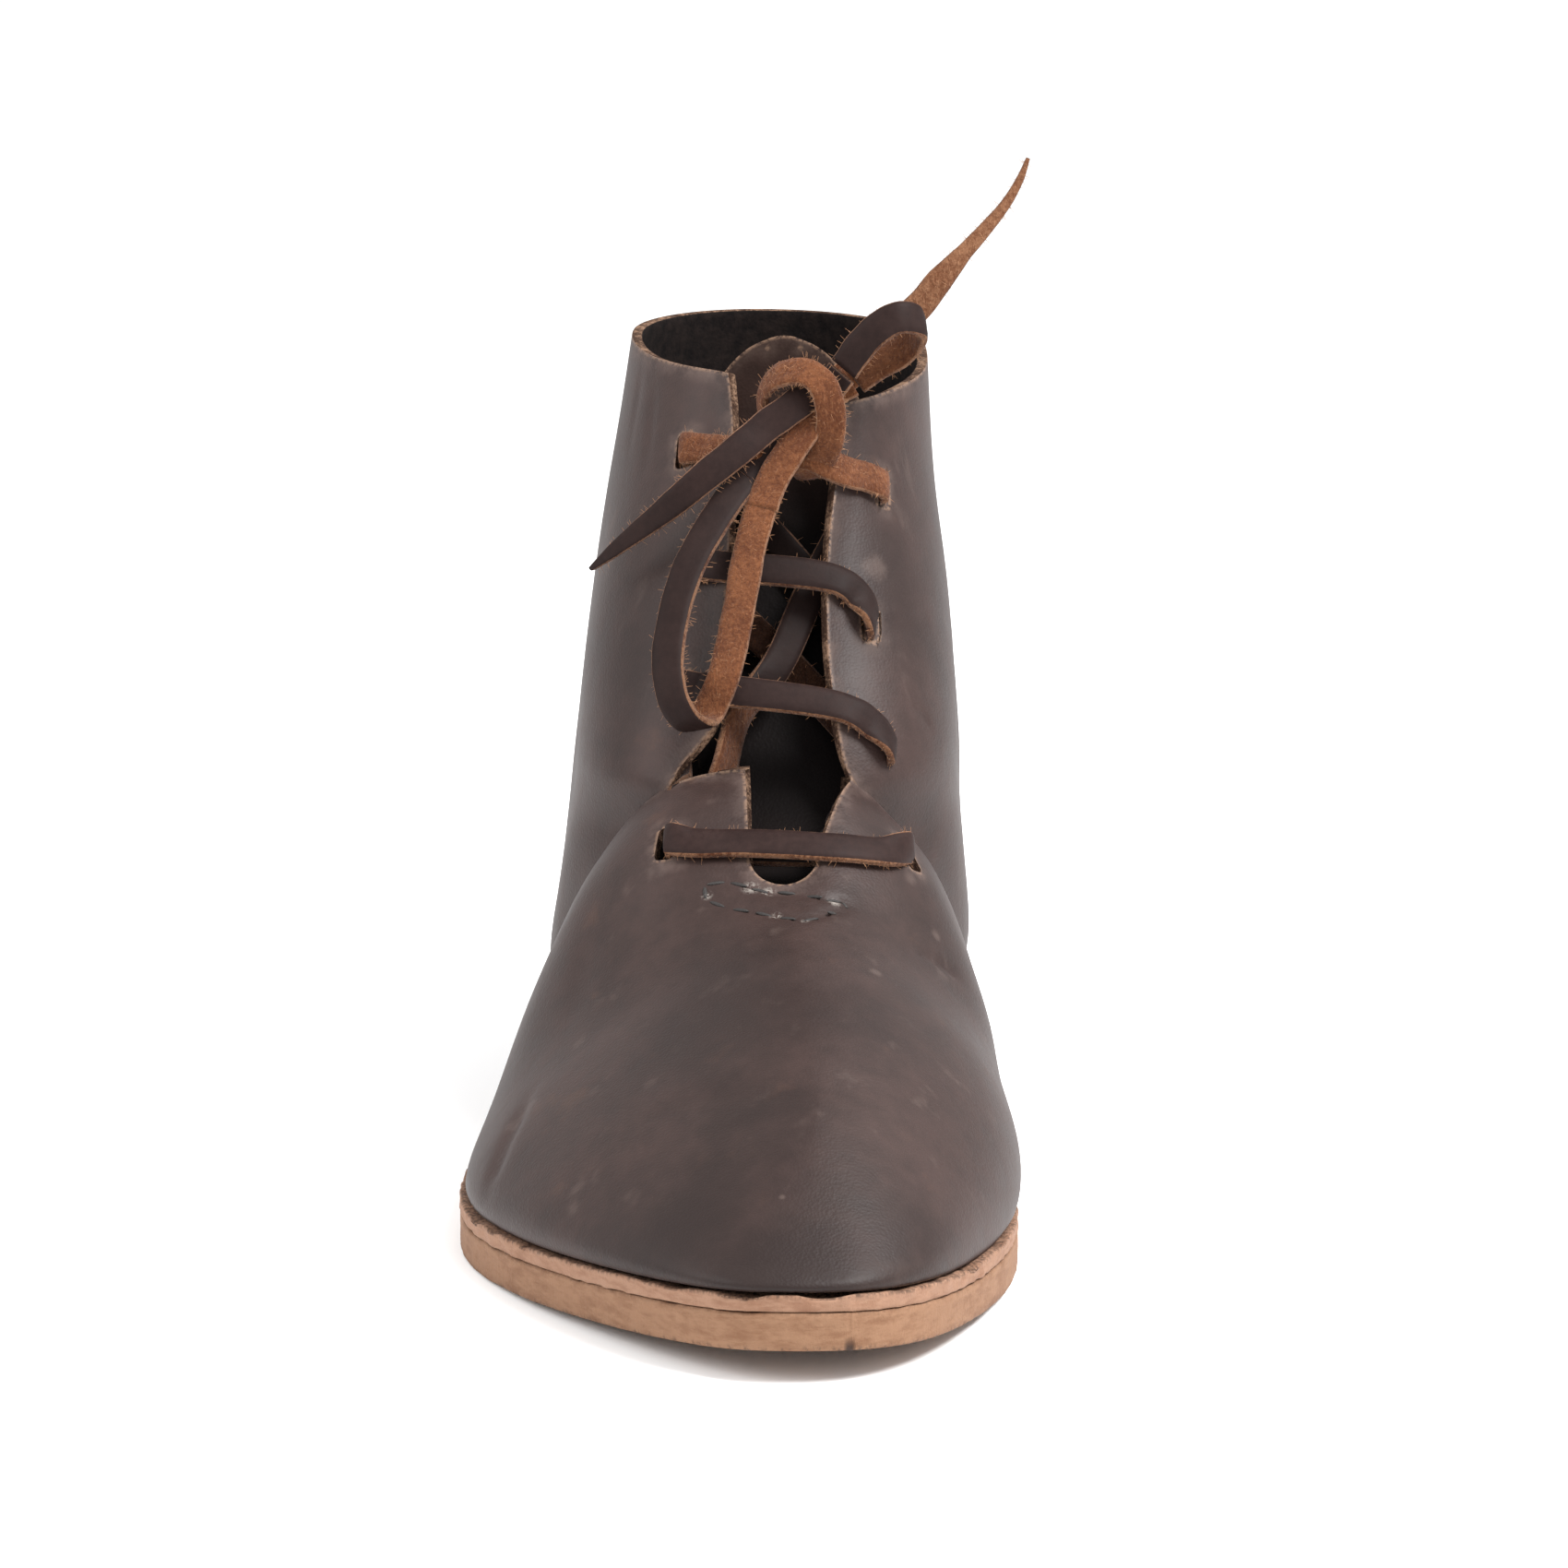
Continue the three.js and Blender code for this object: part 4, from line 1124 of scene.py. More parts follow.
@dataclass(frozen=True)
class LaceLeather:
    """Flat lace: dark grain, rust suede flesh, tan cut edges."""

    grain_deep: Colour = (0.0135, 0.0068, 0.0060)
    grain_light: Colour = (0.0230, 0.0122, 0.0106)
    suede_deep: Colour = (0.070, 0.023, 0.010)
    suede: Colour = (0.135, 0.050, 0.021)
    suede_pale: Colour = (0.250, 0.115, 0.058)
    fibre_pale: Colour = (0.340, 0.190, 0.110)
    edge: Colour = (0.200, 0.096, 0.050)
    shadow: Colour = (0.006, 0.003, 0.0025)

    def grain(self) -> bpy.types.Material:
        """Grain side, worn brown here and there.

        Returns:
            The material.
        """
        sheet = ShaderSheet("lace_grain")
        cloud = sheet.fleck(9, 4)
        fine = sheet.fleck(1.4, 4, 0.65)
        colour = sheet.blend((cloud * 0.6 + fine * 0.5).above(0.35, 0.75), self.grain_deep, self.grain_light)
        side = sheet.attribute("edge").below(0.0, 0.4) * fine.above(0.44, 0.62)
        colour = sheet.blend(side * 0.6, colour, self.edge)
        colour = sheet.blend(sheet.attribute("shade"), colour, self.shadow)
        return sheet.finish(colour, 0.50 + fine * 0.2, fine, 0.08, specular=0.09)

    def flesh(self) -> bpy.types.Material:
        """Suede flesh side.

        Returns:
            The material.
        """
        sheet = ShaderSheet("lace_flesh")
        cloud = sheet.fleck(7, 4, 0.65)
        fibre = sheet.fleck(0.9, 4, 0.8)
        hair = sheet.fleck(0.45, 3, 0.7, (1, 1, 0.35))
        share = (cloud * 0.4 + fibre * 0.7 - 0.05).above(0.38, 0.64)
        colour = sheet.blend(share, self.suede_deep, self.suede)
        colour = sheet.blend(hair.above(0.54, 0.72) * 0.45, colour, self.suede_pale)
        colour = sheet.blend(sheet.attribute("shade") * 0.9, colour, self.shadow)
        return sheet.finish(colour, 0.95, fibre * 0.6 + hair * 0.6, 0.7, specular=0.05, sheen=0.08)

    def fibre(self) -> bpy.types.Material:
        """Loose fibres.

        Returns:
            The material.
        """
        sheet = ShaderSheet("lace_fibre")
        colour = sheet.blend(sheet.fleck(4, 2), self.suede_pale, self.fibre_pale)
        return sheet.finish(colour, 0.9, specular=0.1)

    def cut(self) -> bpy.types.Material:
        """Fuzzy cut edge.

        Returns:
            The material.
        """
        sheet = ShaderSheet("lace_edge")
        fibre = sheet.fleck(0.8, 4, 0.75)
        patch = sheet.fleck(6, 3)
        share = (fibre * 0.7 + patch * 0.5 - 0.1).above(0.36, 0.60)
        colour = sheet.blend(share, self.suede_deep, self.edge)
        colour = sheet.blend(sheet.attribute("shade") * 0.6, colour, self.shadow)
        return sheet.finish(colour, 0.95, fibre, 0.8, specular=0.05, sheen=0.08)


@dataclass(frozen=True)
class StitchThread:
    """Waxed dark thread with some pale wax left on it."""

    dark: Colour = (0.009, 0.006, 0.005)
    wax: Colour = (0.130, 0.105, 0.090)

    def material(self) -> bpy.types.Material:
        """Twisted thread.

        Returns:
            The material.
        """
        sheet = ShaderSheet("stitch_thread")
        fibre = sheet.fleck(0.7, 3)
        share = (fibre * 0.6 + sheet.fleck(6) * 0.6).above(0.66, 0.82) * 0.6
        colour = sheet.blend(share, self.dark, self.wax)
        return sheet.finish(colour, 0.7, fibre, 0.2)


@dataclass(frozen=True)
class Crease:
    """Soft trough, or ridge where its depth is negative, along a line of points on the leather."""

    points: tuple[Triple, ...]
    width: float
    depth: float

    def press(self, place: Vector) -> float:
        """How deep the crease is at a place.

        Args:
            place: the place.

        Returns:
            The depth, less than 0 for a ridge.
        """
        best = 0.0
        count = len(self.points) - 1
        for index in range(count):
            start, end = Vector(self.points[index]), Vector(self.points[index + 1])
            run = end - start
            share = clamp01((place - start).dot(run) / run.length_squared)
            away = (place - start - run * share).length
            if away > 3 * self.width:
                continue
            length = (index + share) / count
            ends = smooth(min(length, 1 - length) / 0.25)
            best = max(best, math.exp(-((away / self.width) ** 2)) * (0.25 + 0.75 * ends))
        return best * self.depth


def mapped_grid(
    mesh: bmesh.types.BMesh, columns: int, rows: int, place: Place
) -> list[bmesh.types.BMVert]:
    """Add a grid and lay it on a surface.

    Args:
        mesh: mesh that it is added to.
        columns: faces along the first share.
        rows: faces along the second share.
        place: the surface, from two shares.

    Returns:
        The grid's corners.
    """
    made = bmesh.ops.create_grid(mesh, x_segments=columns, y_segments=rows, size=0.5)["verts"]
    layer = mesh.loops.layers.uv.verify()
    for face in {face for vert in made for face in vert.link_faces}:
        for loop in face.loops:
            loop[layer].uv = (loop.vert.co.x + 0.5, loop.vert.co.y + 0.5)
    for vert in made:
        vert.co = place(round(vert.co.x + 0.5, 5), round(vert.co.y + 0.5, 5))
    return made


def face_away(mesh: bmesh.types.BMesh, middle: Vector) -> None:
    """Turn an open surface's faces outwards.

    Args:
        mesh: mesh that holds the surface alone.
        middle: point that the faces turn away from.
    """
    bmesh.ops.recalc_face_normals(mesh, faces=mesh.faces)
    lean = sum(face.normal.dot(face.calc_center_median() - middle) * face.calc_area() for face in mesh.faces)
    if lean < 0:
        bmesh.ops.reverse_faces(mesh, faces=mesh.faces)


def press_creases(mesh: bmesh.types.BMesh, creases: Iterable[Crease]) -> None:
    """Press creases into a surface.

    Args:
        mesh: mesh that holds the surface alone.
        creases: the creases, pressed one after another.
    """
    mesh.normal_update()
    for crease in creases:
        low = Vector(tuple(min(point[axis] for point in crease.points) for axis in range(3)))
        high = Vector(tuple(max(point[axis] for point in crease.points) for axis in range(3)))
        reach = 3 * crease.width
        for vert in mesh.verts:
            if all(low[axis] - reach < vert.co[axis] < high[axis] + reach for axis in range(3)):
                vert.co -= vert.normal * crease.press(vert.co)


def wobble(verts: Iterable[bmesh.types.BMVert], size: float, height: float, seed: float) -> None:
    """Shift corners along their normals by soft noise.

    Args:
        verts: corners to shift.
        size: size of its lumps in millimetres.
        height: largest shift in millimetres.
        seed: offset of the noise.
    """
    for vert in verts:
        vert.co += vert.normal * (noise.noise(vert.co / size + Vector((seed, 0, 0))) * height)


def make_object(
    mesh: bmesh.types.BMesh, name: str, materials: Sequence[bpy.types.Material]
) -> bpy.types.Object:
    """Turn a mesh in millimetres into an object in metres.

    Args:
        mesh: the mesh, which is freed.
        name: name of the object.
        materials: materials of its slots.

    Returns:
        The object.
    """
    bmesh.ops.scale(mesh, vec=(METRE, METRE, METRE), verts=mesh.verts)
    for face in mesh.faces:
        face.smooth = True
    data = bpy.data.meshes.new(name)
    mesh.to_mesh(data)
    mesh.free()
    for material in materials:
        data.materials.append(material)
    piece = bpy.data.objects.new(name, data)
    bpy.context.scene.collection.objects.link(piece)
    return piece


def settle(piece: bpy.types.Object) -> None:
    """Make the modifiers of a piece part of its mesh and mark the sharp edges.

    Args:
        piece: the piece, whose mesh is replaced.
    """
    graph = bpy.context.evaluated_depsgraph_get()
    graph.update()
    data = bpy.data.meshes.new_from_object(piece.evaluated_get(graph))
    piece.modifiers.clear()
    piece.data = data
    data.name = piece.name
    data.set_sharp_from_angle(angle=SHARP_ANGLE)


def mark_edges(piece: bpy.types.Object, lowest: float = 14.0) -> None:
    """Write on each corner how far it is from a cut edge, in millimetres.

    Args:
        piece: the piece.
        lowest: height below which edges don't count, in millimetres.
    """
    data = piece.data
    rim = {
        corner for face in data.polygons if face.material_index == CUT_SLOT for corner in face.vertices
        if data.vertices[corner].co.z > lowest * METRE
    }
    tree = KDTree(max(1, len(rim)))
    for corner in rim:
        tree.insert(data.vertices[corner].co, corner)
    tree.balance()
    layer = data.attributes.new("edge", "FLOAT", "POINT")
    away = [tree.find(vertex.co)[2] / METRE if rim else 99.0 for vertex in data.vertices]
    layer.data.foreach_set("value", away)


def cut_with(piece: bpy.types.Object, tools: Sequence[bpy.types.Object]) -> None:
    """Cut other objects out of a piece.

    Args:
        piece: the piece.
        tools: the objects, which are removed. They carry the piece's materials, so that their cuts keep
            their own slot.
    """
    for tool in tools:
        for material in piece.data.materials:
            tool.data.materials.append(material)
        modifier = piece.modifiers.new(tool.name, "BOOLEAN")
        modifier.operation = "DIFFERENCE"
        modifier.solver = "FAST"
        modifier.object = tool
    settle(piece)
    for tool in tools:
        bpy.data.objects.remove(tool)


def prism(name: str, outline: Sequence[Vector], depth: Vector) -> bpy.types.Object:
    """Cutter with a flat outline, whose cuts take the slot of cut edges.

    Args:
        name: name of the object.
        outline: corners of its lower face.
        depth: way from its lower to its upper face.

    Returns:
        The object.
    """
    mesh = bmesh.new()
    face = mesh.faces.new([mesh.verts.new(corner) for corner in outline])
    raised = bmesh.ops.extrude_face_region(mesh, geom=[face], use_keep_orig=True)["geom"]
    bmesh.ops.translate(mesh, vec=depth, verts=[v for v in raised if isinstance(v, bmesh.types.BMVert)])
    bmesh.ops.recalc_face_normals(mesh, faces=mesh.faces)
    for side in mesh.faces:
        side.material_index = CUT_SLOT
    return make_object(mesh, name, [])


@dataclass(frozen=True)
class LaceHole:
    """Round-cornered slot that runs up the boot."""

    half_width: float = 2.0
    half_length: float = 3.9
    corner: float = 1.2
    under: float = 5.0
    depth: float = 9.0

    def cutter(self, middle: Vector, outwards: Vector) -> bpy.types.Object:
        """Make a cutter.

        Args:
            middle: the hole's middle on the outer face.
            outwards: direction out of the leather there.

        Returns:
            The cutter.
        """
        up = Vector((0, 0.5, 1))
        up = (up - outwards * up.dot(outwards)).normalized()
        across = up.cross(outwards)
        outline = []
        for quarter, (sx, sy) in enumerate(((1, 1), (-1, 1), (-1, -1), (1, -1))):
            for step in range(5):
                turn = math.pi / 2 * (quarter + step / 4)
                x = sx * (self.half_width - self.corner) + math.cos(turn) * self.corner
                y = sy * (self.half_length - self.corner) + math.sin(turn) * self.corner
                outline.append(middle + across * x + up * y - outwards * self.under)
        return prism("slot", outline, outwards * self.depth)


def give_wall(piece: bpy.types.Object, thickness: float, softened: bool = True) -> None:
    """Give a leather surface its wall.

    Args:
        piece: the surface.
        thickness: the leather's thickness in millimetres.
        softened: whether the wall's edges are rounded a little.
    """
    wall = piece.modifiers.new("wall", "SOLIDIFY")
    wall.thickness = thickness * METRE
    wall.offset = -1
    wall.material_offset = FLESH_SLOT
    wall.material_offset_rim = CUT_SLOT
    if softened:
        rims = piece.modifiers.new("soft_rims", "BEVEL")
        rims.limit_method = "ANGLE"
        rims.angle_limit = math.radians(60)
        rims.width = 0.35 * METRE
        rims.segments = 2
    settle(piece)


@dataclass
class Vamp:
    """Front of the upper, toe to side seams, with the throat and the stitched oval."""

    along_steps: int = 112
    round_steps: int = 112
    creases: tuple[Crease, ...] = (
        Crease(((-48.3, -52.4, 28.9), (-50, -59.4, 25.8), (-51.9, -64.2, 22.7), (-53.4, -68.9, 19.5),
                (-54.5, -73, 15.8)), 2.4, 0.9),
        Crease(((28.3, -30.6, 50.3), (31, -27.8, 48.2), (33.8, -25.1, 45.4)), 1.1, 0.55),
        Crease(((24.5, -34, 52.3), (27, -31, 50.8), (30, -28, 48.6)), 0.9, 0.4),
        Crease(((-20, -60, 52), (-8, -66, 53.5), (6, -68, 53), (20, -64, 51)), 5.0, 0.35),
        Crease(((-30, -92, 37), (-12, -98, 41), (8, -99, 41), (26, -92, 38)), 5.0, 0.3),
        Crease(((-36, -20, 52), (-40, -30, 47), (-44, -42, 40)), 4.0, 0.5),
    )
    scuffs: tuple[tuple[Triple, float], ...] = (
        ((17.2, -54.9, 53.1), 2.0), ((29.3, -23.4, 53.2), 1.8), ((24.1, -18.2, 63.0), 2.2),
        ((-0.3, -125.6, 29.2), 0.8),
    )
    waxed: tuple[tuple[Triple, float], ...] = (
        ((-6.4, -30.8, 64.6), 2.6), ((-3.0, -32.0, 64.2), 2.2), ((9.6, -34.2, 62.4), 2.0),
        ((-14.8, -31.0, 63.0), 1.6), ((-1.6, -39.8, 60.8), 1.8), ((4.0, -42.0, 60.5), 1.4),
    )
    # Painted shade on the toe, the middle of the vamp and by the lateral ear.
    shade_patches: tuple[tuple[Triple, float, float], ...] = (
        ((0.0, -140.0, 18.0), 60.0, 0.95), ((-4.0, -72.0, 54.0), 42.0, 0.65),
        ((-12.0, -10.0, 72.0), 20.0, 0.4),
    )
    oval: tuple[Triple, ...] = (
        (-15.2, -28.6, 64.2), (-10.9, -28.5, 65.2), (-6.5, -30.6, 64.6), (-2.4, -32.2, 64.3),
        (3.4, -32.8, 63.9), (7.9, -34.1, 62.9), (11.4, -32.8, 62.5), (12.6, -34.2, 61.4), (11.8, -34.9, 61.3),
        (7, -40, 60.8), (3, -42.1, 60.6), (-1.6, -39.6, 60.9), (-6, -37.4, 61.1), (-10.5, -34.9, 61.3),
        (-15, -31.8, 62.3),
    )
    groove_width: float = 0.8
    groove_depth: float = 0.75
    stitch_length: float = 3.6
    stitch_half_width: float = 0.42
    stitch_half_height: float = 0.36
    slants: Mapping[Side, float] = field(default_factory=lambda: {Side.LATERAL: 0.9, Side.MEDIAL: 1.8})

    def place(self, along: float, around: float) -> Vector:
        """Point of the outer face, from the side seam's share and the way over the foot.

        Args:
            along: 0 at the side seam, 1 at the toe.
            around: 0 at the lateral sole, 1 at the medial.

        Returns:
            The point.
        """
        if around < 0.5:
            return FORM.vamp_point(Side.LATERAL, 1 - along, round(2 * around, 5))
        return FORM.vamp_point(Side.MEDIAL, 1 - along, round(2 - 2 * around, 5))

    @property
    def slit_front(self) -> float:
        """Y of the middle of the slit's round end."""
        return FORM.along_y(FORM.ear_along) - FORM.throat_length + FORM.throat_width / 2

    def slit_x(self, side: Side, y: float) -> float:
        """X of the slit's edge at a place along the boot.

        Args:
            side: side of the foot.
            y: place along the boot.

        Returns:
            The edge's X.
        """
        radius = FORM.throat_width / 2
        back = radius * (2.1 if side is Side.MEDIAL else 1.15)
        return side.value * mix(radius, back, (y - self.slit_front) / (FORM.along_y(0.5) - self.slit_front))

    def slant_cut(self, piece: bpy.types.Object) -> None:
        """Let the flesh side of the slit's edges stand further in, as a slanted knife leaves it.

        Args:
            piece: the vamp.
        """
        faces = piece.data.polygons
        grain = {corner for face in faces if face.material_index == GRAIN_SLOT for corner in face.vertices}
        cut = {corner for face in faces if face.material_index == CUT_SLOT for corner in face.vertices}
        for corner in cut - grain:
            place = piece.data.vertices[corner].co / METRE
            side = Side.MEDIAL if place.x > 0 else Side.LATERAL
            if place.y < self.slit_front or abs(place.x - self.slit_x(side, place.y)) > 0.4:
                continue
            slant = self.slants[side] * (1 + 0.35 * noise.noise(place / 3))
            piece.data.vertices[corner].co.x -= side.value * slant * METRE

    def throat(self) -> bpy.types.Object:
        """Cutter of the throat.

        Returns:
            The cutter.
        """
        radius = FORM.throat_width / 2
        back = FORM.along_y(0.5)
        middle = self.slit_front
        low = FORM.instep_height / 2
        outline = [Vector((self.slit_x(Side.MEDIAL, back), back, low))]
        for step in range(25):
            turn = math.pi * step / 24
            outline.append(Vector((math.cos(turn) * radius, middle - math.sin(turn) * radius, low)))
        outline.append(Vector((self.slit_x(Side.LATERAL, back), back, low)))
        return prism("throat", outline, Vector((0, 0, FORM.instep_height)))

    def build(self, leather: UpperLeather) -> bpy.types.Object:
        """Make the vamp.

        Args:
            leather: its finish.

        Returns:
            The piece.
        """
        mesh = bmesh.new()
        mapped_grid(mesh, self.along_steps, self.round_steps, self.place)
        bmesh.ops.remove_doubles(mesh, verts=mesh.verts, dist=0.01)
        face_away(mesh, Vector((0, -50, 0)))
        press_creases(mesh, (*self.creases, Crease(self.oval, self.groove_width, self.groove_depth)))
        piece = make_object(mesh, "vamp_leather", [
            leather.grain("vamp_grain", self.scuffs, self.waxed, self.shade_patches),
            leather.flesh("upper_flesh"),
            leather.cut("upper_cut_edge"),
        ])
        give_wall(piece, FORM.wall)
        cut_with(piece, [self.throat(), *(LaceHole().cutter(*FORM.hole(side, 0)) for side in Side)])
        self.slant_cut(piece)
        mark_edges(piece)
        return piece

    def stitches(self, vamp: bpy.types.Object, thread: StitchThread) -> bpy.types.Object:
        """Stitches of the oval, laid in its groove.

        Args:
            vamp: the vamp that they are sewn through.
            thread: their finish.

        Returns:
            The piece.
        """
        mesh = bmesh.new()
        points = self.oval
        for index, start in enumerate(points):
            start, end = Vector(start), Vector(points[(index + 1) % len(points)])
            run = end - start
            if run.length < 2:
                continue
            found, middle, normal, _ = vamp.closest_point_on_mesh((start + end) / 2 * METRE)
            if not found or normal.z < 0.3:
                continue
            forward = (run - normal * run.dot(normal)).normalized()
            turn = Matrix((forward, normal.cross(forward), normal)).transposed()
            half = min(self.stitch_length, run.length * 0.85) / 2
            size = Matrix.Diagonal((half, self.stitch_half_width, self.stitch_half_height, 1))
            place = Matrix.Translation(middle / METRE)
            bmesh.ops.create_uvsphere(
                mesh, u_segments=12, v_segments=8, radius=1, matrix=place @ turn.to_4x4() @ size
            )
        return make_object(mesh, "oval_stitches", [thread.material()])


@dataclass
class Quarters:
    """Back and sides of the upper, from one front edge round the heel to the other."""

    around_steps: int = 230
    rise_steps: int = 84
    creases: tuple[Crease, ...] = (
        Crease(((19.2, 16.3, 106.3), (21.6, 19, 105.6), (23.9, 22.1, 107), (26.4, 26.5, 106.2),
                (28.8, 31.1, 107.1)), 0.9, 0.6),
        Crease(((21, 20, 103.5), (23.2, 23, 101.7), (25.5, 26, 102.5), (30, 34, 101.5)), 0.8, 0.5),
        Crease(((24.7, 12, 93.1), (27.1, 13.8, 90.6), (29.4, 15.3, 86.9)), 0.9, 0.5),
        Crease(((-27.5, 53.5, 152), (-27.5, 50, 145), (-26.5, 43.3, 132)), 1.6, 0.35),
        Crease(((-29.5, 62, 154), (-30.0, 58, 142), (-29.5, 52, 130)), 1.8, 0.3),
        Crease(((-34, 60, 92), (-36.5, 50, 84), (-38, 38, 74)), 6.0, 1.4),
        Crease(((33, 62, 95), (34, 50, 84), (34, 38, 72)), 6.0, 1.2),
        Crease(((-30, 92, 84), (-20, 116, 80), (0, 127, 79), (18, 118, 81), (28, 95, 84)), 6.0, 1.6),
        Crease(((-31, 90, 104), (-18, 118, 101), (2, 126, 100), (20, 112, 102)), 5.0, 1.1),
    )
    scuffs: tuple[tuple[Triple, float], ...] = (
        ((-17.0, 33.0, 146.0), 5.0), ((-14.5, 34.0, 140.0), 4.0), ((18.0, 24.0, 118.0), 4.0),
        ((30.0, 60.0, 60.0), 9.0), ((-40.0, 70.0, 50.0), 10.0), ((0.0, 136.0, 60.0), 8.0),
    )
    # Painted shade on the quarters: by the lacing on both sides and round the heel.
    shade_patches: tuple[tuple[Triple, float, float], ...] = (
        ((22.0, 24.0, 118.0), 34.0, 0.6), ((-24.0, 22.0, 112.0), 26.0, 0.3),
        ((-34.0, 110.0, 40.0), 40.0, 0.5), ((10.0, 138.0, 90.0), 36.0, 0.4), ((34.0, 90.0, 50.0), 36.0, 0.4),
    )

    def build(self, leather: UpperLeather) -> bpy.types.Object:
        """Make the quarters.

        Args:
            leather: their finish.

        Returns:
            The piece.
        """
        mesh = bmesh.new()
        mapped_grid(mesh, self.around_steps, self.rise_steps, FORM.quarter_point)
        face_away(mesh, Vector((0, 60, 80)))
        press_creases(mesh, self.creases)
        wobble(mesh.verts, 26, 0.35, 7)
        piece = make_object(mesh, "quarter_leather", [
            leather.grain("quarter_grain", self.scuffs, shade_patches=self.shade_patches),
            leather.flesh("quarter_flesh"),
            leather.cut("quarter_cut_edge"),
        ])
        give_wall(piece, FORM.wall)
        cut_with(piece, [LaceHole().cutter(*FORM.hole(side, row)) for side in Side for row in (1, 2, 3)])
        mark_edges(piece)
        return piece


@dataclass
class SoleLayer:
    """One layer of the sole: an edge round the outline and the faces over and under it."""

    name: str
    inset: float
    low: float
    high: float
    rounding: float = 0.5
    ragged: float = 0.12
    stations: int = 260
    face_columns: int = 12

    def profile(self) -> list[tuple[float, float]]:
        """Inset and height of the edge's rows, from the lower to the upper face.

        Returns:
            The rows.
        """
        rounding, low, high = self.rounding, self.low, self.high
        sides = [(0.0, mix(low + rounding, high - rounding, step / 5)) for step in range(6)]
        lower = [(rounding * 2.4, low), (rounding, low), (rounding * 0.3, low + rounding * 0.3)]
        upper = [(rounding * 0.3, high - rounding * 0.3), (rounding, high), (rounding * 2.4, high)]
        return lower + sides + upper

    def corner(self, side: Side, along: float, inset: float, height: float) -> Vector:
        """Point of the layer over a station of the outline.

        Args:
            side: side of the foot.
            along: 0 at the toe, 1 at the heel.
            inset: way inwards.
            height: height over the underside.

        Returns:
            The point.
        """
        row = along * (len(FORM.outline.rows) - 1)
        plan = FORM.outline_point(side, round(row, 5), self.inset + inset)
        return Vector((plan.x, plan.y, FORM.clearance(plan.y) + height))

    def build(self, material: bpy.types.Material) -> bpy.types.Object:
        """Make the layer.

        Args:
            material: its finish.

        Returns:
            The piece.
        """
        profile = self.profile()

        def edge(around: float, up: float) -> Vector:
            """Point of the edge."""
            side = Side.LATERAL if around < 0.5 else Side.MEDIAL
            along = 2 * around if around < 0.5 else 2 - 2 * around
            return self.corner(side, round(along, 4), *profile[round(up * (len(profile) - 1))])

        def face(inset: float, height: float) -> Place:
            """Surface of the lower or upper face."""
            def point(across: float, along: float) -> Vector:
                """Point of the face."""
                start = self.corner(Side.LATERAL, round(along, 4), inset, height)
                return start.lerp(self.corner(Side.MEDIAL, round(along, 4), inset, height), across)
            return point

        mesh = bmesh.new()
        mapped_grid(mesh, 2 * self.stations, len(profile) - 1, edge)
        for row in (profile[0], profile[-1]):
            mapped_grid(mesh, self.face_columns, self.stations, face(*row))
        bmesh.ops.remove_doubles(mesh, verts=mesh.verts, dist=0.02)
        bmesh.ops.recalc_face_normals(mesh, faces=mesh.faces)
        layer = mesh.verts.layers.float.new("height")
        for vert in mesh.verts:
            vert[layer] = vert.co.z - FORM.clearance(vert.co.y)
        mesh.normal_update()
        wobble([vert for vert in mesh.verts if abs(vert.normal.z) < 0.9], 2.5, self.ragged, self.low)
        for vert in mesh.verts:
            if vert[layer] > self.high - 0.8:
                vert.co.z += min(0.0, noise.noise(vert.co / 6)) * self.ragged * 3
        return make_object(mesh, self.name, [material])


@dataclass
class Tongue:
    """Tongue behind the lacing, rounded at its top."""

    thickness: float = 1.8
    crown: float = 1.0
    columns: int = 26
    rows: int = 90

    def build(self, leather: UpperLeather) -> bpy.types.Object:
        """Make the tongue.

        Args:
            leather: its finish.

        Returns:
            The piece.
        """
        def place(across: float, up: float) -> Vector:
            """Point of the front face."""
            reach = math.sin(up * 1.45) / math.sin(1.45)
            crown = self.crown * (1 - (2 * across - 1) ** 2) * smooth((reach - 0.94) / 0.06)
            return FORM.tongue_point(2 * across - 1, reach) + Vector((0, 0, crown))

        mesh = bmesh.new()
        mapped_grid(mesh, self.columns, self.rows, place)
        face_away(mesh, Vector((0, 70, 60)))
        wobble(mesh.verts, 14, 0.3, 3)
        piece = make_object(mesh, "tongue_leather", [
            leather.grain("tongue_grain"), leather.flesh("tongue_flesh"), leather.cut("tongue_cut_edge"),
        ])
        give_wall(piece, self.thickness, softened=False)
        mark_edges(piece)
        return piece


Stop = tuple[Vector, Vector]


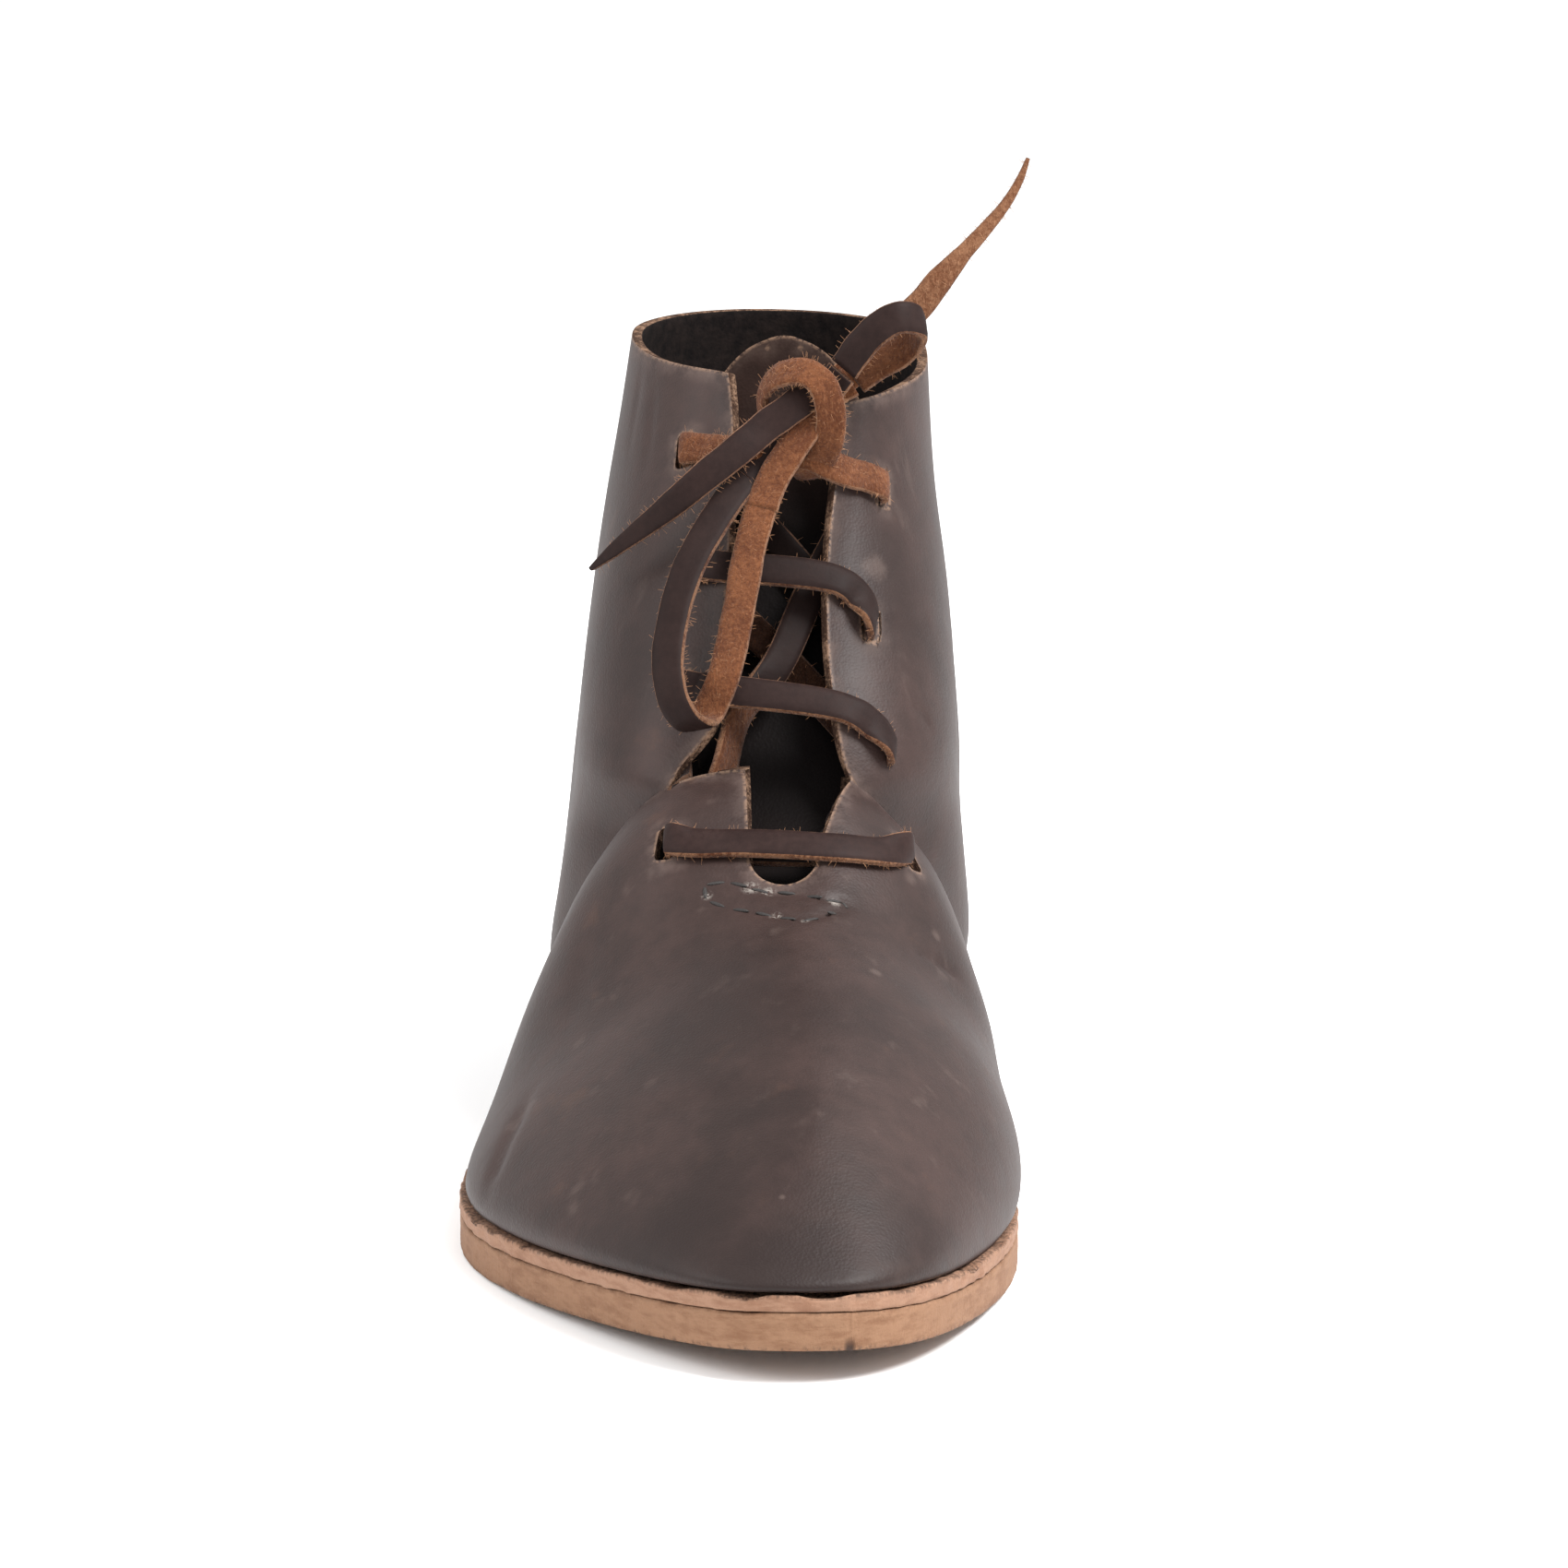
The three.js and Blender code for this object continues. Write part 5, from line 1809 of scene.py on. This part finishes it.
@dataclass(eq=False)
class Strap:
    """Flat lace through stops, each a place and the way that its grain faces."""

    stops: Sequence[Stop]
    steps: int
    widths: tuple[float, ...] = (1.0,)
    width: float = 6.5
    thickness: float = 1.8
    flesh_out: tuple[tuple[float, float], ...] = ()
    shades: tuple[tuple[float, float, float], ...] = ()
    ring: int = 18
    squareness: int = 5
    dish: float = 0.10
    cut_share: float = 0.985
    seed: float = 0.0

    def __post_init__(self) -> None:
        """Lay the curves."""
        self.route = SmoothPath([stop[0] for stop in self.stops])
        self.facing = SmoothPath([stop[1] for stop in self.stops], centripetal=False)

    def width_at(self, share: float) -> float:
        """Width share at a place along the strap.

        Args:
            share: share of the way, 0 to 1.

        Returns:
            The share of the full width.
        """
        widths = self.widths
        place = share * (len(widths) - 1)
        index = min(int(place), max(0, len(widths) - 2))
        return mix(widths[index], widths[min(index + 1, len(widths) - 1)], place - index)

    @lru_cache(maxsize=None)
    def section(self, share: float) -> tuple[Vector, Vector, Vector]:
        """Middle, side direction and grain direction at a share of the route.

        Args:
            share: share of the way, 0 to 1.

        Returns:
            The middle and the two directions.
        """
        middle = self.route.at(share)
        heading = self.route.heading(share)
        grain = self.facing.at(share)
        grain = (grain - heading * grain.dot(heading)).normalized()
        return middle, heading.cross(grain), grain

    def path(self) -> list[tuple[float, ...]]:
        """Points that the strap follows, in metres."""
        return [tuple(self.route.at(step / self.steps) * METRE) for step in range(self.steps + 1)]

    def add_to(self, mesh: bmesh.types.BMesh) -> None:
        """Add the strap to a mesh: a rolled-up grid with closed ends.

        Args:
            mesh: the mesh.
        """
        def ring_point(turn: float) -> tuple[float, float]:
            """Across and up on the round-cornered section."""
            angle = 2 * math.pi * turn
            x, y = math.cos(angle), math.sin(angle)
            reach = (abs(x) ** self.squareness + abs(y) ** self.squareness) ** (-1 / self.squareness)
            return x * reach, y * reach

        def place(share: float, turn: float) -> Vector:
            """Point of the strap's skin."""
            middle, side, grain = self.section(share)
            across, up = ring_point(turn % 1)
            rough = noise.noise(Vector((share * len(self.stops) * 1.7, across * 0.6, self.seed)))
            half = self.width / 2 * self.width_at(share) * (1 + 0.05 * rough)
            thick = self.thickness / 2 * (1 + 0.12 * rough)
            bent = up - self.dish * across**2 + self.dish / 2
            return middle + side * (across * half) + grain * (bent * thick)

        floats = mesh.verts.layers.float
        side_layer = floats.get("edge") or floats.new("edge")
        shade_layer = floats.get("shade") or floats.new("shade")
        layer = mesh.loops.layers.uv.verify()
        made = mapped_grid(mesh, self.steps, self.ring, place)
        faces = {face for vert in made for face in vert.link_faces}
        for face in faces:
            share = sum(loop[layer].uv.x for loop in face.loops) / 4
            across, up = ring_point(sum(loop[layer].uv.y for loop in face.loops) / 4)
            swapped = any(low < share < high for low, high in self.flesh_out)
            if abs(across) > self.cut_share:
                face.material_index = CUT_SLOT
            else:
                face.material_index = FLESH_SLOT if (up < 0) != swapped else GRAIN_SLOT
            for loop in face.loops:
                loop.vert[side_layer] = (1 - abs(ring_point(loop[layer].uv.y % 1)[0])) * self.width / 2
                loop.vert[shade_layer] = next(
                    (shade for low, high, shade in self.shades if low <= loop[layer].uv.x <= high), 0.0
                )
        bmesh.ops.remove_doubles(mesh, verts=made, dist=0.002)
        rims = [edge for edge in mesh.edges if edge.is_boundary]
        bmesh.ops.holes_fill(mesh, edges=rims, sides=0)
        bmesh.ops.recalc_face_normals(mesh, faces=mesh.faces)

    def build(self, name: str, materials: Sequence[bpy.types.Material]) -> bpy.types.Object:
        """Make the strap as a piece.

        Args:
            name: name of the piece.
            materials: grain, flesh and cut edge.

        Returns:
            The piece.
        """
        mesh = bmesh.new()
        self.add_to(mesh)
        return make_object(mesh, name, materials)


@dataclass(frozen=True)
class Fuzz:
    """Loose fibres that stand out of a lace's cut edges and its flesh side."""

    per_length: float = 2.2
    on_lacing: int = 900
    on_wrap: int = 220
    edge_share: float = 0.7
    shortest: float = 0.6
    longest: float = 1.8
    sunk: float = 0.08
    lean: float = 0.5
    root_radius: float = 0.05
    tip_radius: float = 0.02

    def grow(self, mesh: bmesh.types.BMesh, strap: Strap, count: int) -> None:
        """Add fibres.

        Args:
            mesh: mesh that they are added to.
            strap: strap that they grow out of.
            count: number of fibres.
        """
        for _ in range(count):
            share = random.random()
            middle, side, grain = strap.section(share)
            swapped = any(low < share < high for low, high in strap.flesh_out)
            flesh = grain if swapped else -grain
            on_edge = random.random() < self.edge_share
            across = random.choice((-1.0, 1.0)) if on_edge else random.uniform(-0.85, 0.85)
            rise = random.uniform(-0.1, 0.4) if on_edge else 0.45
            start = middle + side * (across * strap.width / 2 * strap.width_at(share) * 0.97)
            start = start + flesh * (strap.thickness * rise)
            lean = Vector((random.gauss(0, 1), random.gauss(0, 1), random.gauss(0, 1)))
            heading = ((side * across if on_edge else flesh * 0.5) + lean * self.lean).normalized()
            length = random.uniform(self.shortest, self.longest)
            place = Matrix.Translation(start + heading * (length * (0.5 - self.sunk)))
            turn = heading.to_track_quat("Z", "Y").to_matrix().to_4x4()
            bmesh.ops.create_cone(
                mesh, cap_ends=True, segments=3, radius1=self.root_radius, radius2=self.tip_radius,
                depth=length, matrix=place @ turn,
            )


def stops_of(*rows: tuple[float, ...]) -> list[Stop]:
    """Stops from rows of six numbers: a place and a facing."""
    return [(Vector(row[:3]), Vector(row[3:])) for row in rows]


@dataclass
class Lacing:
    """The lace through all its holes: three bars outside, crossings and a long diagonal inside."""

    clearance: float = 0.4
    crossing_depth: float = 2.4
    thickness: float = 1.8
    steps: int = 680
    swapped: tuple[tuple[float, float], ...] = ((-1, 4.6), (6, 8.6), (44.5, 47.6), (48.6, 99))
    shaded: tuple[tuple[float, float, float], ...] = (
        (5, 9, 0.9), (9, 16, 0.45), (16, 20, 0.85), (20, 27, 0.25), (27, 33, 0.9), (40, 42.3, 0.8),
        (42.3, 44.6, 0.35), (44.6, 48, 0.55))
    vamp_rests: Mapping[Side, tuple[tuple[float, float], ...]] = field(default_factory=lambda: {
        Side.LATERAL: ((0.830, 0.826), (0.832, 0.913)), Side.MEDIAL: ((0.836, 0.771), (0.821, 0.893))})
    quarter_rests: Mapping[Side, tuple[tuple[tuple[float, float], ...], ...]] = field(
        default_factory=lambda: {
        Side.LATERAL: (
            ((1.197, 4.2), (1.200, 0.6)), ((1.480, 4.4), (1.482, 0.6)), ((1.748, 5.6), (1.751, 1.2))),
        Side.MEDIAL: (
            ((1.112, 7.0), (1.157, 1.0)), ((1.400, 7.1), (1.450, 1.3)), ((1.682, 6.3), (1.708, 0.5)))})

    @property
    def lift(self) -> float:
        """How far the lace's middle lies off the leather."""
        return self.clearance + self.thickness / 2

    def rests(self, side: Side, row: int) -> list[Stop]:
        """Where a bar lies on the leather, from its hole to the front edge.

        Args:
            side: side of the foot.
            row: row of the holes.

        Returns:
            The stops.
        """
        if row == 0:
            found = [FORM.on_vamp(side, *place) for place in self.vamp_rests[side]]
        else:
            found = [FORM.at_margin(side, *place) for place in self.quarter_rests[side][row - 1]]
        return [(point + normal * self.lift, normal) for point, normal in found]

    def hole(self, side: Side, row: int) -> list[Stop]:
        """Stops through a hole: outside, in the wall and inside.

        Args:
            side: side of the foot.
            row: row of the holes.

        Returns:
            The stops.
        """
        point, normal = FORM.hole(side, row)
        inwards = Vector((-side.value, 0, 0))
        inwards = (inwards - normal * inwards.dot(normal)).normalized()
        under = 2 * self.clearance + self.thickness / 2
        early = 1.0 if row == 0 else 0.4
        return [
            (point + normal * (self.lift * 0.85) + inwards * early, normal - inwards),
            (point - normal * (FORM.wall / 2) + inwards * (early / 2), -inwards),
            (point - normal * (FORM.wall + under) + inwards * self.clearance, -(normal + inwards)),
        ]

    def bar(self, row: int) -> list[Stop]:
        """Stops of a bar, from the medial hole over to the lateral one.

        Args:
            row: row of the holes.

        Returns:
            The stops.
        """
        return [
            *self.hole(Side.MEDIAL, row)[::-1],
            *self.rests(Side.MEDIAL, row),
            *self.rests(Side.LATERAL, row)[::-1],
            *self.hole(Side.LATERAL, row),
        ]

    def crossing(self, from_row: int, to_row: int) -> Stop:
        """Middle of an inner crossing from a lateral hole to a medial one.

        Args:
            from_row: row of the lateral hole.
            to_row: row of the medial hole.

        Returns:
            The stop.
        """
        start = self.hole(Side.LATERAL, from_row)[2][0]
        end = self.hole(Side.MEDIAL, to_row)[2][0]
        return (start + end) / 2 + Vector((0, self.crossing_depth, 0)), Vector((0, 1, 0))

    def under_vamp(self, side: Side, share: float, rise: float) -> Stop:
        """Stop that lies flat under the vamp."""
        point, normal = FORM.on_vamp(side, share, rise)
        return point - normal * (FORM.wall + self.clearance + self.lift), normal

    def placed(self, across: float, along: float, level: float, facing: Triple = (0, 1, 0)) -> Stop:
        """Stop by its shares of the boot's sizes."""
        place = Vector((across * FORM.ball_width, FORM.along_y(along), FORM.level_z(level)))
        return place, Vector(facing)

    def stops(self) -> list[Stop]:
        """The whole route, from the lateral top hole's lead to the medial one's.

        Returns:
            The stops.
        """
        return [
            *stops_of((-1.0, 28.5, 142.6, 0, -1, 0.2), (-6.6, 26.6, 141.6, 0, -1, 0.2)),
            *self.rests(Side.LATERAL, 3)[::-1],
            *self.hole(Side.LATERAL, 3),
            self.crossing(3, 2),
            *self.bar(2),
            self.crossing(2, 1),
            *self.bar(1),
            self.placed(-0.205, 0.520, 1.02),
            self.under_vamp(Side.LATERAL, 0.855, 0.86),
            self.under_vamp(Side.MEDIAL, 0.835, 0.88),
            *self.bar(0),
            self.placed(-0.150, 0.482, 0.870, (-0.5, 1, 0)),
            self.placed(-0.113, 0.504, 1.010, (-0.9, 0.9, 0)),
            self.placed(-0.082, 0.524, 1.140, (-0.9, 0.9, 0)),
            self.placed(-0.012, 0.543, 1.253),
            self.placed(0.053, 0.575, 1.423),
            *self.hole(Side.MEDIAL, 3)[::-1],
            *self.rests(Side.MEDIAL, 3),
            *stops_of((5.6, 26.4, 140.3, 0, -1, 0.1), (0.6, 28.6, 141.0, 0, -1, 0.1)),
        ]

    def strap(self) -> Strap:
        """The lace along its route, with its turned and its shaded runs.

        Returns:
            The strap.
        """
        stops = self.stops()
        last = len(stops) - 1
        swapped = tuple((low / last, high / last) for low, high in self.swapped)
        shaded = tuple((low / last, high / last, shade) for low, high, shade in self.shaded)
        return Strap(stops, self.steps, flesh_out=swapped, shades=shaded, seed=4)


class FarEnd(Enum):
    """What a free cord ends in."""

    KNOT = "knot"
    BARE = "bare"


@dataclass(frozen=True)
class CordRoute:
    """One free cord of the lace."""

    node: str
    far_end: FarEnd
    stops: tuple[tuple[float, ...], ...]
    widths: tuple[float, ...] = (1.0,)
    shaded: tuple[tuple[float, float, float], ...] = ()


CORDS = (
    CordRoute("lace_loop_low", FarEnd.KNOT, (
        (-5.1, 25.5, 137.7, -0.3, -1, 0.2), (-8.1, 22.5, 135.5, -0.3, -1, 0.2),
        (-12.2, 17.5, 130.7, -0.3, -1, 0.2), (-16.4, 12.5, 124.4, -0.3, -1, 0.2),
        (-19.6, 8.0, 118.1, -0.3, -1, 0.2), (-21.8, 3.0, 110.8, -0.3, -1, 0.1),
        (-22.7, -2.0, 103.7, -0.3, -1, 0.1), (-21.7, -5.5, 97.0, -0.3, -1, 0),
        (-19.2, -6.5, 92.7, -0.2, -1, -0.6), (-16.4, -4.5, 91.2, 0.1, -0.3, -1),
        (-14.8, -1.5, 93.1, 0.2, 0.8, -0.5), (-11.9, 0.0, 99.8, 0.2, 1, -0.3),
        (-10.1, 4.0, 106.4, 0.2, 1, -0.5), (-8.5, 8.5, 114.0, 0.2, 1, -0.5),
        (-7.1, 13.0, 121.6, 0.2, 1, -0.5), (-5.1, 17.5, 129.2, 0.2, 1, -0.5),
        (-2.6, 21.0, 135.3, 0.2, 1, -0.5),
    ), shaded=((0.0, 0.58, 0.4),)),
    CordRoute("lace_end_low", FarEnd.BARE, (
        (6.2, 26.6, 153.4, 0, -1, 0.2), (1.6, 24.4, 150.0, 0, -1, 0.2), (-3.5, 23.3, 146.5, 0, -1, 0.2),
        (-9.1, 20.8, 142.0, 0, -1, 0.2),
        (-15.5, 19.0, 137.1, 0, -1, 0.2), (-21.9, 19.2, 131.6, -0.1, -1, 0.2),
        (-27.5, 21.0, 126.9, -0.2, -1, 0.2), (-33.5, 24.0, 121.8, -0.3, -1, 0.2),
        (-38.4, 28.0, 117.3, -0.3, -1, 0.2),
    ), (1, 1, 1, 1, 0.95, 0.85, 0.68, 0.45, 0.15), shaded=((0.0, 1.0, 0.25),)),
    CordRoute("lace_loop_high", FarEnd.KNOT, (
        (12.0, 28.0, 157.4, -0.2, -1, 0.3), (15.9, 27.0, 162.9, -0.2, -1, 0.3),
        (19.8, 26.5, 166.4, -0.2, -1, 0.3), (23.6, 27.0, 167.8, 0.1, -1, 0.3),
        (27.4, 30.3, 166.0, 1, -0.2, 0.3), (25.6, 34.0, 162.5, 0.5, 1, -0.4),
        (23.0, 34.8, 159.8, 0.3, 1, -0.4), (18.4, 34.5, 157.4, 0.2, 1, -0.4),
        (14.2, 33.5, 154.6, 0.2, 1, -0.4),
    ), shaded=((0.0, 1.0, 0.3),)),
    CordRoute("lace_end_high", FarEnd.BARE, (
        (15.7, 38.5, 157.8, 0, 1, 0), (21.3, 39.0, 163.3, 0, 1, 0), (26.8, 39.0, 168.5, 0, 1, 0),
        (31.4, 39.0, 174.2, 0, 1, 0), (36.0, 39.0, 179.5, 0, 1, 0), (40.5, 39.0, 184.5, 0, 1, 0),
        (44.5, 39.0, 189.5, 0, 1, 0), (47.1, 39.0, 194.1, 0, 1, 0), (48.7, 39.0, 198.3, 0, 1, 0),
    ), (0.92, 0.92, 0.9, 0.82, 0.52, 0.42, 0.32, 0.24, 0.12)),
)


@dataclass
class Bow:
    """The tied part of the lace: two loops, two ends and the knot that holds them."""

    strands: tuple[tuple[tuple[float, ...], ...], ...] = (
        ((8.6, 28.0, 155.2, 0, -1, 0.3), (6.9, 27.3, 154.0, 0, -1, 0.2), (5.2, 26.4, 152.8, 0, -1, 0.2)),
        ((6.5, 27.2, 148.0, -0.3, -1, 0.2), (1.0, 26.6, 143.4, -0.3, -1, 0.2),
         (-5.1, 25.4, 137.8, -0.3, -1, 0.2), (-7.6, 23.0, 136.0, -0.3, -1, 0.2)),
        ((7.4, 26.6, 151.0, 0.3, 1, -0.3), (4.4, 24.8, 146.0, 0.3, 1, -0.4),
         (0.6, 22.9, 140.6, 0.2, 1, -0.5), (-2.6, 20.9, 135.4, 0.2, 1, -0.5),
         (-4.4, 18.2, 130.6, 0.2, 1, -0.5)),
        ((5.0, 29.0, 148.5, -0.2, -1, 0.3), (8.6, 28.6, 152.8, -0.2, -1, 0.3),
         (11.4, 28.1, 156.5, -0.2, -1, 0.3)),
        ((5.5, 31.5, 149.0, 0.2, 1, -0.4), (9.5, 33.0, 152.0, 0.2, 1, -0.4),
         (13.4, 33.4, 154.2, 0.2, 1, -0.4)),
        ((5.0, 34.0, 148.0, 0, 1, 0), (10.0, 37.0, 152.6, 0, 1, 0), (15.0, 38.4, 157.2, 0, 1, 0)),
    )
    strand_shades: tuple[float, ...] = (0.25, 0.4, 0.0, 0.3, 0.0, 0.0)
    strand_steps: int = 24
    wrap_widths: tuple[float, ...] = (0.55, 0.6, 0.8, 1, 1, 1, 1, 1, 1)
    wrap_width: float = 6.0
    wrap_steps: int = 90
    steps_per_stop: int = 6
    wrap: tuple[tuple[float, ...], ...] = (
        (-2.6, 33.0, 143.5, 0.9, 0.4, -0.1), (-4.2, 30.0, 149.0, 0.9, 0.5, -0.3),
        (-3.5, 27.4, 153.6, 0.6, 0.7, -0.7), (-0.6, 25.4, 156.4, 0.1, 0.9, -0.7),
        (3.6, 24.0, 157.2, -0.2, 1.0, -0.6), (7.2, 23.2, 155.2, -0.3, 1.0, -0.3),
        (9.0, 23.0, 151.0, -0.1, 1, 0), (9.3, 23.4, 146.2, 0, 1, 0), (8.2, 25.0, 141.4, 0, 1, 0.3),
        (5.6, 27.4, 137.8, 0, 0.8, 0.6), (1.6, 28.6, 136.8, -0.2, 0.6, 0.8),
    )

    def knot(self, materials: Sequence[bpy.types.Material]) -> bpy.types.Object:
        """Knot: the wrap, flesh side out, over the strands that it holds.

        Args:
            materials: grain, flesh and cut edge.

        Returns:
            The piece.
        """
        mesh = bmesh.new()
        for seed, (rows, shade) in enumerate(zip(self.strands, self.strand_shades)):
            strap = Strap(stops_of(*rows), self.strand_steps, shades=((0.0, 1.0, shade),), seed=seed)
            strap.add_to(mesh)
        self.wrapped().add_to(mesh)
        return make_object(mesh, "bow_knot", materials)

    def wrapped(self) -> Strap:
        """The turn of lace round the knot."""
        return Strap(stops_of(*self.wrap), self.wrap_steps, self.wrap_widths, self.wrap_width, seed=11)

    def cord(self, route: CordRoute) -> Strap:
        """Strap of a free cord.

        Args:
            route: the cord's route.

        Returns:
            The strap.
        """
        steps = self.steps_per_stop * len(route.stops)
        return Strap(
            stops_of(*route.stops), steps, route.widths, shades=route.shaded, seed=len(route.stops)
        )


@dataclass(frozen=True)
class Softbox:
    """Square area light aimed at the boot; its place and size are in metres."""

    name: str
    place: Triple
    size: float
    power: float
    aim: Triple = (0.0, 0.0, 0.08)

    def hang(self) -> None:
        """Put the light into the scene."""
        data = bpy.data.lights.new(self.name, "AREA")
        data.size = self.size
        data.energy = self.power
        lamp = bpy.data.objects.new(self.name, data)
        lamp.location = self.place
        way = Vector(self.aim) - Vector(self.place)
        lamp.rotation_euler = way.to_track_quat("-Z", "Y").to_euler()
        bpy.context.scene.collection.objects.link(lamp)


@dataclass
class Studio:
    """White studio round the boot: camera, floor, soft lights. Its sizes are in metres."""

    camera_place: Triple = (0.0, -1.0, 0.2685)
    camera_pitch: float = 79.25
    lens: float = 119.0
    sensor_width: float = 36.0
    farthest: float = 50.0
    floor_size: float = 6.0
    white: Colour = (0.96, 0.96, 0.96)
    off_white: Colour = (0.94, 0.94, 0.94)
    world_strength: float = 1.05
    softboxes: tuple[Softbox, ...] = (
        Softbox("key", (0.9, -0.45, 1.45), 0.75, 60),
        Softbox("fill", (-1.2, -0.4, 0.9), 0.8, 12),
    )

    def camera(self) -> None:
        """Set the camera at the photograph's angle."""
        data = bpy.data.cameras.new("camera")
        data.lens = self.lens
        data.sensor_width = self.sensor_width
        data.clip_end = self.farthest
        eye = bpy.data.objects.new("camera", data)
        eye.location = self.camera_place
        eye.rotation_euler = (math.radians(self.camera_pitch), 0, 0)
        bpy.context.scene.collection.objects.link(eye)
        bpy.context.scene.camera = eye

    def floor(self) -> bpy.types.Object:
        """Plain pale floor.

        Returns:
            The piece.
        """
        mesh = bmesh.new()
        bmesh.ops.create_grid(mesh, x_segments=2, y_segments=2, size=self.floor_size / 2 / METRE)
        sheet = ShaderSheet("floor_paper")
        cloud = sheet.fleck(400, 2)
        material = sheet.finish(sheet.blend(cloud, self.off_white, self.white), 0.9, specular=0.1)
        piece = make_object(mesh, "floor", [material])
        return piece

    def lights(self) -> None:
        """Soft light from above and the right, a weaker one from the left, white all round."""
        world = bpy.data.worlds.new("studio")
        bpy.context.scene.world = world
        world.use_nodes = True
        backdrop = world.node_tree.nodes["Background"]
        backdrop.inputs["Color"].default_value = (1, 1, 1, 1)
        backdrop.inputs["Strength"].default_value = self.world_strength
        for softbox in self.softboxes:
            softbox.hang()
        bpy.context.scene.view_settings.view_transform = "Standard"


def stand_for(piece: bpy.types.Object, slot: str, *nodes: str) -> None:
    """Let a piece ride on the boot in place of solids, and report it.

    Args:
        piece: the piece.
        slot: name of a material slot; not used.
        nodes: the solids that it replaces.
    """
    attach(piece, BODY)
    if nodes:
        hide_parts(*nodes)
    LOG.info("%s: %d faces", piece.name, len(piece.data.polygons))


def dress_lace() -> None:
    """Make the knot, the free cords, the lacing and their loose fibres."""
    lace = LaceLeather()
    finishes = (lace.grain(), lace.flesh(), lace.cut())
    # Painted highlight: a paler copy of the lace's suede for the high bare end, standing in for the light on
    # its tip.
    lit_end_lace = LaceLeather(
        suede_deep=(0.11, 0.042, 0.02), suede=(0.2, 0.095, 0.05), suede_pale=(0.34, 0.18, 0.1)
    )
    lit_end_finishes = (finishes[0], lit_end_lace.flesh(), finishes[2])
    bow = Bow()
    knot = bow.knot(finishes)
    stand_for(knot, "lace_suede", "lace_knot")
    fuzz, fibres = Fuzz(), bmesh.new()
    for route in CORDS:
        # The high bare end takes the paler suede of the painted highlight.
        pale = route.node == "lace_end_high"
        strap = bow.cord(route)
        cord = strap.build(route.node.replace("lace", "bow"), lit_end_finishes if pale else finishes)
        stand_for(cord, "lace_suede" if pale else "lace_leather", route.node)
        path = strap.path()
        length = sum(math.dist(start, end) for start, end in zip(path, path[1:]))
        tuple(path[0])
        strap.width * METRE
        [knot] if route.node == "lace_loop_low" else []
        LOG.info("%s: %.1f mm long", cord.name, length / METRE)
        fuzz.grow(fibres, strap, round(fuzz.per_length * length / METRE))
    lacing = Lacing().strap()
    fuzz.grow(fibres, lacing, fuzz.on_lacing)
    fuzz.grow(fibres, bow.wrapped(), fuzz.on_wrap)
    stand_for(lacing.build("lacing", finishes), "lace_leather", "lace_lacing")
    stand_for(make_object(fibres, "lace_fibres", [lace.fibre()]), "lace_suede")


def dress_upper() -> None:
    """Make the vamp, the quarters, the stitches and the tongue."""
    leather = UpperLeather()
    front = Vamp()
    vamp = front.build(leather)
    stand_for(vamp, "upper_leather", "upper")
    stand_for(Quarters().build(leather), "upper_leather", "upper")
    stand_for(front.stitches(vamp, StitchThread()), "upper_leather")
    # The tongue's leather: darker and duller, with painted shade on its lower part down in the throat.
    darker = UpperLeather(
        deep=(0.0115, 0.0062, 0.0050), light=(0.0250, 0.0135, 0.0105), rubbed=(0.050, 0.034, 0.028),
        shine=0.05, coat=0, shade_below=130,
    )
    stand_for(Tongue().build(darker), "tongue_leather", "tongue")


def dress_sole() -> None:
    """Make the outsole, the rand and the insole."""
    oak = SoleLeather()
    pink = SoleLeather(pale=(0.285, 0.168, 0.110), tan=(0.185, 0.092, 0.054), burnt=(0.105, 0.040, 0.022))
    low, high = FORM.outsole_thickness, FORM.outsole_thickness + FORM.rand_thickness
    outsole = SoleLayer("outsole_leather", 0.0, 0.0, low - 0.08, 0.6)
    stand_for(outsole.build(oak.edge("outsole_edge", low, 0.35, True)), "sole_leather", "outsole")
    rand = SoleLayer("rand_strip", 0.0, low, high, 0.4, 0.35)
    stand_for(rand.build(pink.edge("rand_edge", high, 0.75)), "rand_leather", "rand")
    inset = FORM.feather_inset + FORM.wall + 4 * FORM.gap
    bed = FORM.feather + FORM.insole_thickness
    insole = SoleLayer("insole_leather", inset, FORM.feather, bed, 0.4, 0.05)
    stand_for(insole.build(oak.bed("insole_bed")), "insole_leather", "insole")


def main() -> None:
    """Build and dress the boot in its studio."""
    logging.basicConfig(level=logging.INFO, format="%(message)s")
    random.seed(5)
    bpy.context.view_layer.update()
    studio = Studio()
    studio.camera()
    dress_lace()
    dress_upper()
    dress_sole()
    studio.floor()
    studio.lights()


if __name__ == "__main__":
    main()
